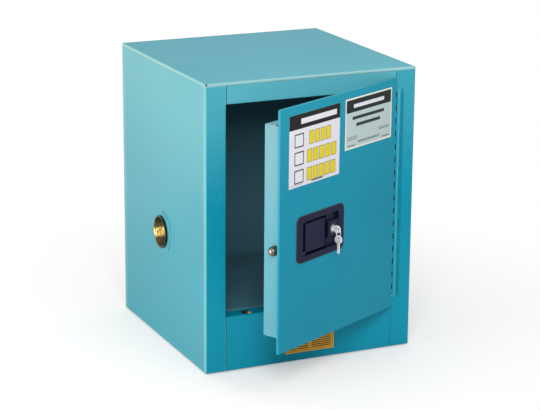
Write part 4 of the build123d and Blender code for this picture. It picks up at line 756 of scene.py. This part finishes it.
def rubbed_metal(name, light, dark, edge, shine, metallic, rings=None):
    """Handled metal, smeared between two tones and brighter on its edges, partly wear and partly a painted
    highlight.

    Rings (x, z, radius) are turned about a point of the closed door, with a groove at the radius.
    """
    material, tree, shader, place = bare_material(name)
    smear = clouds(tree, place, 420.0, 3.0, 0.6)
    wear_and_highlight = placed_group(tree, edge_wear_and_highlight, Place=place, Width=0.0005, Amount=0.7, Break=600.0)
    tone = blended(tree, eased(tree, smear, 0.35, 0.75), light, dark)
    height = smear
    if rings:
        at = closed_place(tree, place)
        middle_x, middle_z, radius = rings
        away = from_origin(tree, worked(tree, "SUBTRACT", at["X"], middle_x),
                           worked(tree, "SUBTRACT", at["Z"], middle_z))
        marks = worked(tree, "SINE", worked(tree, "MULTIPLY", away, 12000.0))
        groove = between(tree, away, radius - 0.0005, radius - 0.0002, radius + 0.0002, radius + 0.0005)
        tone = blended(tree, groove, tone, (0.10, 0.10, 0.11, 1.0))
        height = worked(tree, "MULTIPLY_ADD", marks, 0.5, height)
        height = worked(tree, "MULTIPLY_ADD", groove, -20.0, height)
    feed(tree, shader.inputs["Base Color"], blended(tree, wear_and_highlight["Mask"], tone, edge))
    feed(tree, shader.inputs["Roughness"], eased(tree, smear, 0.3, 0.8, shine, shine + 0.16))
    feed(tree, shader.inputs["Normal"], raised(tree, height, 0.00001, wear_and_highlight["Normal"]))
    shader.inputs["Metallic"].default_value = metallic
    return material


def frame_ring(inner, outer, thickness):
    """Points of a flat strap with a window.

    A rectangular section is carried round the four corners of the window; its inner edge follows
    the window and its outer edge the strap.
    """
    (x0, x1), (z0, z1) = inner
    (u0, u1), (w0, w1) = outer
    near = np.array([(x0, z0), (x1, z0), (x1, z1), (x0, z1)])
    far = np.array([(u0, w0), (u1, w0), (u1, w1), (u0, w1)])
    front = np.full((4, 1), BOLT_Y)
    behind = np.full((4, 1), BOLT_Y + thickness)
    corners = [np.hstack([flat[:, :1], y, flat[:, 1:]])
               for flat, y in ((near, front), (far, front), (far, behind), (near, behind))]
    return np.stack(corners, axis=1)


def bar(x, y, z):
    """Points of a square bar along X: its section at both ends, each closed by a point."""
    section = np.array([(y[0], z[0]), (y[1], z[0]), (y[1], z[1]), (y[0], z[1])])
    middle = np.repeat(section.mean(axis=0)[None], 4, axis=0)
    rows = [np.hstack([np.full((4, 1), at), flat])
            for at, flat in ((x[0], middle), (x[0], section), (x[1], section), (x[1], middle))]
    return np.stack(rows)


# The nose is a quarter ellipse turned on a lathe. A small flat at its tip cuts off the first part
# of the quarter turn, which isn't the same along the bolt as across it.
FLAT_ALONG, FLAT_ACROSS = 0.03 * np.pi, 0.35
sweep = np.linspace(0.0, 1.0, 14)[1:]
nose_x = NOSE_END - (NOSE_END - NOSE_TIP) * np.cos(FLAT_ALONG + sweep * (np.pi / 2 - FLAT_ALONG))
nose_r = BOLT_R * np.sin(FLAT_ACROSS + sweep * (np.pi / 2 - FLAT_ACROSS))
shank_x = np.concatenate([[NOSE_TIP, NOSE_TIP], nose_x,
                          [NOSE_END + 0.002, BOLT_TAIL - 0.0006, BOLT_TAIL, BOLT_TAIL]])
shank_r = np.concatenate([[0.0, 0.0030], nose_r, [BOLT_R, BOLT_R, BOLT_R - 0.0006, 0.0]])
bolt_pieces = {
    "bolt_turned": lying(turned(shank_x, shank_r, 40), BOLT_Y, BOLT_Z),
    "bolt_neck": bar((BOLT_TAIL - 0.001, STRAP[0][0] + 0.001), (BOLT_Y, BOLT_Y + TAIL_T),
                     (BOLT_Z - TAIL_NECK, BOLT_Z + TAIL_NECK)),
    "bolt_strap": frame_ring(WINDOW, STRAP, TAIL_T)}
bolt_steel = rubbed_metal("bolt_steel", (0.17, 0.14, 0.14, 1.0), (0.055, 0.045, 0.047, 1.0),
                          (0.52, 0.45, 0.43, 1.0), shine=0.30, metallic=0.8)
for name, points in bolt_pieces.items():
    piece = surface(name, ajar(points), bolt_steel, wrap_u=name == "bolt_strap")
    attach(piece, "latch_bolt")
    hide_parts("latch_bolt")

# Lock and keys: nickel plated brass. The barrel's face is dark, with rings turned round a bright
# plug. The keys are flat, cut along one side of the blade, and light and satin from handling.
LOCK_X, LOCK_Z = -0.030, 0.292
GROOVE_R = 0.0083
lock_ring = rubbed_metal("lock_ring", (0.030, 0.032, 0.050, 1.0), (0.012, 0.013, 0.024, 1.0),
                         (0.22, 0.22, 0.28, 1.0), shine=0.30, metallic=0.6,
                         rings=(LOCK_X, LOCK_Z, GROOVE_R))
dress(lock_ring, "lock_cylinder")
lock_core = rubbed_metal("lock_core", (0.62, 0.62, 0.66, 1.0), (0.34, 0.34, 0.38, 1.0),
                         (0.95, 0.95, 0.97, 1.0), shine=0.24, metallic=0.6)
dress(lock_core, "lock_plug")
dress(zinc, "lock_nut", "lock_cam")
key_nickel = rubbed_metal("key_nickel", (0.92, 0.93, 0.96, 1.0), (0.74, 0.76, 0.82, 1.0),
                          (0.98, 0.98, 0.98, 1.0), shine=0.24, metallic=0.35)
dress(key_nickel, "key_ring")
HOLE_Y, SPARE_HOLE_Z = -0.2384, 0.2766      # the ring's holes in the two keys
KEY_T, KEY_HOLE_R, KEY_EASE = 0.0020, 0.0020, 0.00025
SHOULDER, TIP_LONG, CUT_WAVES = 0.0015, 0.0020, 9


def key_outline(bow, hole, blade, reach, cut):
    """Points (across, down from the hole) round a key.

    The bow is an arc about a centre a little below the hole. The blade's sides run straight down
    from it to a blunt tip, and on one side the half width is less by a row of half sine cuts.
    """
    meets = math.asin(blade / bow)
    arc = np.linspace(meets, 2 * np.pi - meets, 48)
    head = np.stack([bow * np.sin(arc), hole + bow * np.cos(arc)], axis=1)
    start = hole + bow * math.cos(meets) + SHOULDER
    down = np.linspace(start, reach - TIP_LONG, 48)
    dips = cut * np.clip(np.sin((down - start) / (reach - start) * CUT_WAVES * np.pi), 0.0, 1.0)
    plain_side = np.stack([np.full_like(down, -blade), down], axis=1)
    cut_side = np.stack([blade - dips, down], axis=1)[::-1]
    tip = np.array([(-0.4 * blade, reach), (0.3 * blade, reach)])
    return np.concatenate([head, plain_side, tip, cut_side])


def key_plate(outline):
    """Points of a flat key: (across, down, through).

    Each outline point and the point of the hole on the same ray are joined by a section with
    eased corners, out along one face and back along the other.
    """
    ray = outline / np.linalg.norm(outline, axis=1, keepdims=True)
    face, wall = KEY_T / 2, KEY_T / 2 - KEY_EASE
    ease = KEY_EASE * ray
    stations = ((KEY_HOLE_R * ray + ease, face), (outline - ease, face), (outline, wall), (outline, -wall),
                (outline - ease, -face), (KEY_HOLE_R * ray + ease, -face), (KEY_HOLE_R * ray, -wall),
                (KEY_HOLE_R * ray, wall))
    return np.stack([np.hstack([at, np.full((len(at), 1), through)]) for at, through in stations], axis=1)


pushed_in = key_plate(key_outline(bow=0.0074, hole=0.0034, blade=0.0032, reach=0.0340, cut=0.0010))
hanging = key_plate(key_outline(bow=0.0082, hole=0.0038, blade=0.0027, reach=0.0311, cut=0.0011))
key_pieces = (
    ("key_in_lock_cut", "key_in_lock", "lock_core",
     np.stack([LOCK_X + pushed_in[..., 2], HOLE_Y + pushed_in[..., 1], LOCK_Z + pushed_in[..., 0]],
              axis=-1)),
    ("spare_key_cut", "hanging_key", "spare_key",
     np.stack([LOCK_X + hanging[..., 2], HOLE_Y + hanging[..., 0], SPARE_HOLE_Z - hanging[..., 1]],
              axis=-1)))
for name, node, body, points in key_pieces:
    piece = surface(name, ajar(points), key_nickel, wrap_u=True)
    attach(piece, body)
    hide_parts(node)

# Labels: printed plastic film, stuck on flat. They carry plain bands, blocks and ruled lines and
# no words: a white and a grey one on the door, an orange one on the sill, a small dark one on top
# of the sill.
MM = 0.001
PRINT_CORNER = 0.0003
FILM_SHINE, FILM_SPECULAR = 0.36, 0.15


def label_film(name, ground, prints, on_door, up="Z"):
    """A film of one ground colour with blocks of print.

    Each print is (colour, centre across, centre up, width, height) in millimetres, and for a ruled
    field also how many lines fill it and the share of ink in each.
    """
    material, tree, shader, place = bare_material(name)
    at = closed_place(tree, place) if on_door else axes_of(tree, place)
    fibre = clouds(tree, place, 1300.0)
    darker = tuple(c * 0.95 for c in ground)
    tone = blended(tree, eased(tree, fibre, 0.3, 0.7), ground + (1.0,), darker + (1.0,))
    ink = None
    for colour, centre_x, centre_up, width, height, *ruled in prints:
        block = placed_group(tree, flat_block, Across=at["X"], Up=at[up], Centre_Across=centre_x * MM,
                             Centre_Up=centre_up * MM, Width=width * MM, Height=height * MM,
                             Corner=PRINT_CORNER)
        mask = block["Mask"]
        if ruled:
            lines, share = ruled
            above = worked(tree, "SUBTRACT", at[up], (centre_up - height / 2) * MM)
            phase = worked(tree, "FRACT", worked(tree, "MULTIPLY", above, lines / (height * MM)))
            mask = worked(tree, "MULTIPLY", mask, worked(tree, "LESS_THAN", phase, share))
        tone = blended(tree, mask, tone, colour + (1.0,))
        ink = mask if ink is None else worked(tree, "MAXIMUM", ink, mask)
    wear_and_highlight = placed_group(tree, edge_wear_and_highlight, Place=place, Width=0.0004, Amount=0.3, Break=400.0)
    feed(tree, shader.inputs["Base Color"], blended(tree, wear_and_highlight["Mask"], tone, (0.75, 0.75, 0.74, 1.0)))
    rough = eased(tree, fibre, 0.3, 0.7, FILM_SHINE, FILM_SHINE + 0.08)
    feed(tree, shader.inputs["Roughness"], worked(tree, "MULTIPLY_ADD", ink, -0.06, rough))
    feed(tree, shader.inputs["Normal"], raised(tree, ink, 0.00001, wear_and_highlight["Normal"]))
    shader.inputs["Specular IOR Level"].default_value = FILM_SPECULAR
    return material


BLACK, INK, PAPER = (0.003, 0.003, 0.004), (0.015, 0.020, 0.022), (0.62, 0.62, 0.67)
YELLOW, YELLOW_BORDER = (0.620, 0.500, 0.008), (0.10, 0.08, 0.01)
BOX_X, ROW_H, BORDER = -132.0, 24.6, 2.0
white_print = [(BLACK, -86.0, 511.5, 150.0, 27.0), (PAPER, -74.0, 511.0, 106.0, 10.0)]
for row_z, row_left, row_right, count in ((477.0, -104.0, -37.0, 4), (444.0, -110.0, -20.0, 5),
                                          (410.6, -110.0, -22.0, 5)):
    white_print += [(BLACK, BOX_X, row_z, 27.0, 25.0), (PAPER, BOX_X, row_z, 22.6, 20.6)]
    step = (row_right - row_left) / count
    for column in range(count):
        middle = row_left + step * (column + 0.5)
        white_print += [(YELLOW_BORDER, middle, row_z, step - 2.6, ROW_H),
                        (YELLOW, middle, row_z, step - 2.6 - BORDER, ROW_H - BORDER)]
white_print += [(INK, -78.0, 396.5, 34.0, 2.4), (INK, -140.0, 396.5, 36.0, 2.4, 2, 0.3)]
dress(label_film("white_film", PAPER, white_print, on_door=True), "door_label_white")

GREEN_BLACK, GREY_PAPER, CREAM = (0.003, 0.009, 0.009), (0.40, 0.49, 0.49), (0.66, 0.68, 0.60)
GREY_X = 79.5
grey_print = [(CREAM, GREY_X, 479.0, 147.0, 96.0), (GREY_PAPER, GREY_X, 479.0, 141.0, 90.0),
              (GREEN_BLACK, GREY_X, 512.0, 141.0, 24.0), (PAPER, GREY_X, 511.0, 96.0, 7.0),
              (INK, 78.0, 488.5, 100.0, 6.0), (INK, 78.0, 475.0, 76.0, 6.0),
              (INK, 128.0, 456.0, 34.0, 6.0, 2, 0.35), (INK, 28.0, 452.0, 30.0, 8.0, 3, 0.3),
              (INK, 79.0, 442.5, 68.0, 4.4, 2, 0.5), (INK, 26.0, 437.5, 24.0, 1.6),
              (INK, 134.0, 437.5, 24.0, 1.6)]
dress(label_film("grey_film", GREY_PAPER, grey_print, on_door=True), "door_label_grey")

AMBER, OCHRE, BROWN = (0.86, 0.40, 0.02), (0.62, 0.33, 0.035), (0.060, 0.030, 0.010)
sill_print = [(BROWN, 0.5, 45.0, 97.0, 49.0), (OCHRE, 0.5, 45.0, 95.6, 47.6),
              (BROWN, -23.0, 41.0, 40.0, 32.0, 8, 0.42), (BROWN, 25.0, 41.0, 40.0, 32.0, 8, 0.42),
              (BROWN, 0.5, 63.0, 86.0, 5.0)]
dress(label_film("orange_film", AMBER, sill_print, on_door=False), "sill_label")

DARK, STRAW, GREY_INK = (0.010, 0.010, 0.012), (0.88, 0.66, 0.16), (0.10, 0.10, 0.10)
rim_print = [(STRAW, -123.6, -207.4, 6.4, 9.4), (GREY_INK, -131.0, -203.5, 8.0, 12.0, 5, 0.3)]
dress(label_film("dark_film", DARK, rim_print, on_door=False, up="Y"), "rim_label")

# Stage: a pale floor that keeps the cabinet's shadow and runs out into white, and large soft
# lamps on the left, behind on the left, in front and overhead.
FLOOR_REACH = 9.0
GLOW_FROM, GLOW_TO, GLOW_LEAST = 0.20, 0.90, 0.35   # the white glow grows outwards to full
WHITE = (1.0, 1.0, 1.0, 1.0)
WORLD_STRENGTH = 0.42

floor_paint, tree, shader, place = bare_material("floor_paint")
shader.inputs["Base Color"].default_value = (0.93, 0.93, 0.93, 1.0)
shader.inputs["Roughness"].default_value = 0.9
shader.inputs["Specular IOR Level"].default_value = 0.0
glow = tree.nodes.new("ShaderNodeEmission")
glow.inputs["Color"].default_value = WHITE


def background_rays(tree):
    """1 for what sees the background: camera, glossy and transmission rays."""
    ray = tree.nodes.new("ShaderNodeLightPath")
    seen = worked(tree, "ADD", ray.outputs["Is Camera Ray"], ray.outputs["Is Glossy Ray"], clamp=True)
    return worked(tree, "ADD", seen, ray.outputs["Is Transmission Ray"], clamp=True)


def mixed_shader(tree, factor, first, second, out):
    """Mixes two shaders into an output."""
    node = tree.nodes.new("ShaderNodeMixShader")
    for socket, value in zip(node.inputs, (factor, first, second)):
        feed(tree, socket, value)
    feed(tree, out, node.outputs[0])


def white_sky(tree, strength):
    """A white background of a given strength."""
    node = tree.nodes.new("ShaderNodeBackground")
    node.inputs["Color"].default_value = WHITE
    node.inputs["Strength"].default_value = strength
    return node.outputs[0]


glowing = eased(tree, measured(tree, "LENGTH", place), GLOW_FROM, GLOW_TO, GLOW_LEAST, 1.0)
floor_out = next(node for node in tree.nodes if node.type == "OUTPUT_MATERIAL").inputs[0]
mixed_shader(tree, worked(tree, "MULTIPLY", glowing, background_rays(tree)), shader.outputs[0],
             glow.outputs[0], floor_out)
span = np.linspace(-FLOOR_REACH, FLOOR_REACH, 3)
floor_x, floor_y = np.meshgrid(span, span, indexing="ij")
flat_grid = np.stack([floor_x, floor_y, np.zeros_like(floor_x)], axis=-1)
floor = surface("floor", flat_grid, floor_paint, wrap_v=False)

studio = bpy.data.worlds.new("studio")
bpy.context.scene.world = studio
studio.use_nodes = True
tree = studio.node_tree
tree.nodes.clear()
mixed_shader(tree, background_rays(tree), white_sky(tree, WORLD_STRENGTH), white_sky(tree, 1.0),
             tree.nodes.new("ShaderNodeOutputWorld").inputs[0])

WARM, PLAIN = (1.0, 0.97, 0.82), (1.0, 1.0, 0.98)


def soft_box(name, at, toward, size, watts, tint):
    """A square lamp at a point, facing another."""
    data = bpy.data.lights.new(name, "AREA")
    data.size = size
    data.energy = watts
    data.color = tint
    box = bpy.data.objects.new(name, data)
    bpy.context.scene.collection.objects.link(box)
    box.location = at
    box.visible_camera = False
    box.rotation_mode = "QUATERNION"
    box.rotation_quaternion = (Vector(toward) - Vector(at)).to_track_quat("-Z", "Y")


soft_box("left_lamp", (-1.15, -0.17, 0.16), (-0.15, -0.35, 0.30), 0.34, 8.5, WARM)
soft_box("left_back_lamp", (-0.62, 0.82, 0.24), (-0.216, 0.0, 0.35), 0.55, 1.6, WARM)
soft_box("left_high_lamp", (-0.62, 0.82, 0.62), (-0.216, 0.0, 0.45), 0.45, 0.5, WARM)
soft_box("front_lamp", (-0.9, -2.1, 1.6), (0.0, -0.1, 0.35), 0.9, 36.5, PLAIN)
soft_box("header_lamp", (0.1, -0.75, 0.95), (0.0, -0.2, 0.5), 0.4, 1.6, PLAIN)
soft_box("overhead_lamp", (0.2, 0.4, 2.3), (0.0, 0.0, 0.5), 1.4, 13.4, PLAIN)

# Camera: to the left of the front and a little above, with a long lens, as the cabinet was
# photographed. It has no shift, and a small roll levels it.
LENS_MM, SENSOR_MM = 127.8, 36.0
CAMERA_TARGET = Vector((0.0131, 0.0, 0.2521))
CAMERA_DISTANCE = 3.823
CAMERA_AZIMUTH = math.radians(-24.70)
CAMERA_ELEVATION = math.radians(15.77)
CAMERA_ROLL = math.radians(0.45)
camera_data = bpy.data.cameras.new("camera")
camera_data.lens = LENS_MM
camera_data.sensor_width = SENSOR_MM
camera_data.clip_end = 60.0
camera = bpy.data.objects.new("camera", camera_data)
bpy.context.scene.collection.objects.link(camera)
back = Vector((math.sin(CAMERA_AZIMUTH) * math.cos(CAMERA_ELEVATION),
               -math.cos(CAMERA_AZIMUTH) * math.cos(CAMERA_ELEVATION), math.sin(CAMERA_ELEVATION)))
camera.location = CAMERA_TARGET + back * CAMERA_DISTANCE
camera.rotation_mode = "QUATERNION"
camera.rotation_quaternion = ((-back).to_track_quat("-Z", "Y")
                              @ Euler((0.0, 0.0, CAMERA_ROLL)).to_quaternion())
bpy.context.scene.camera = camera
bpy.context.scene.view_settings.view_transform = "Standard"
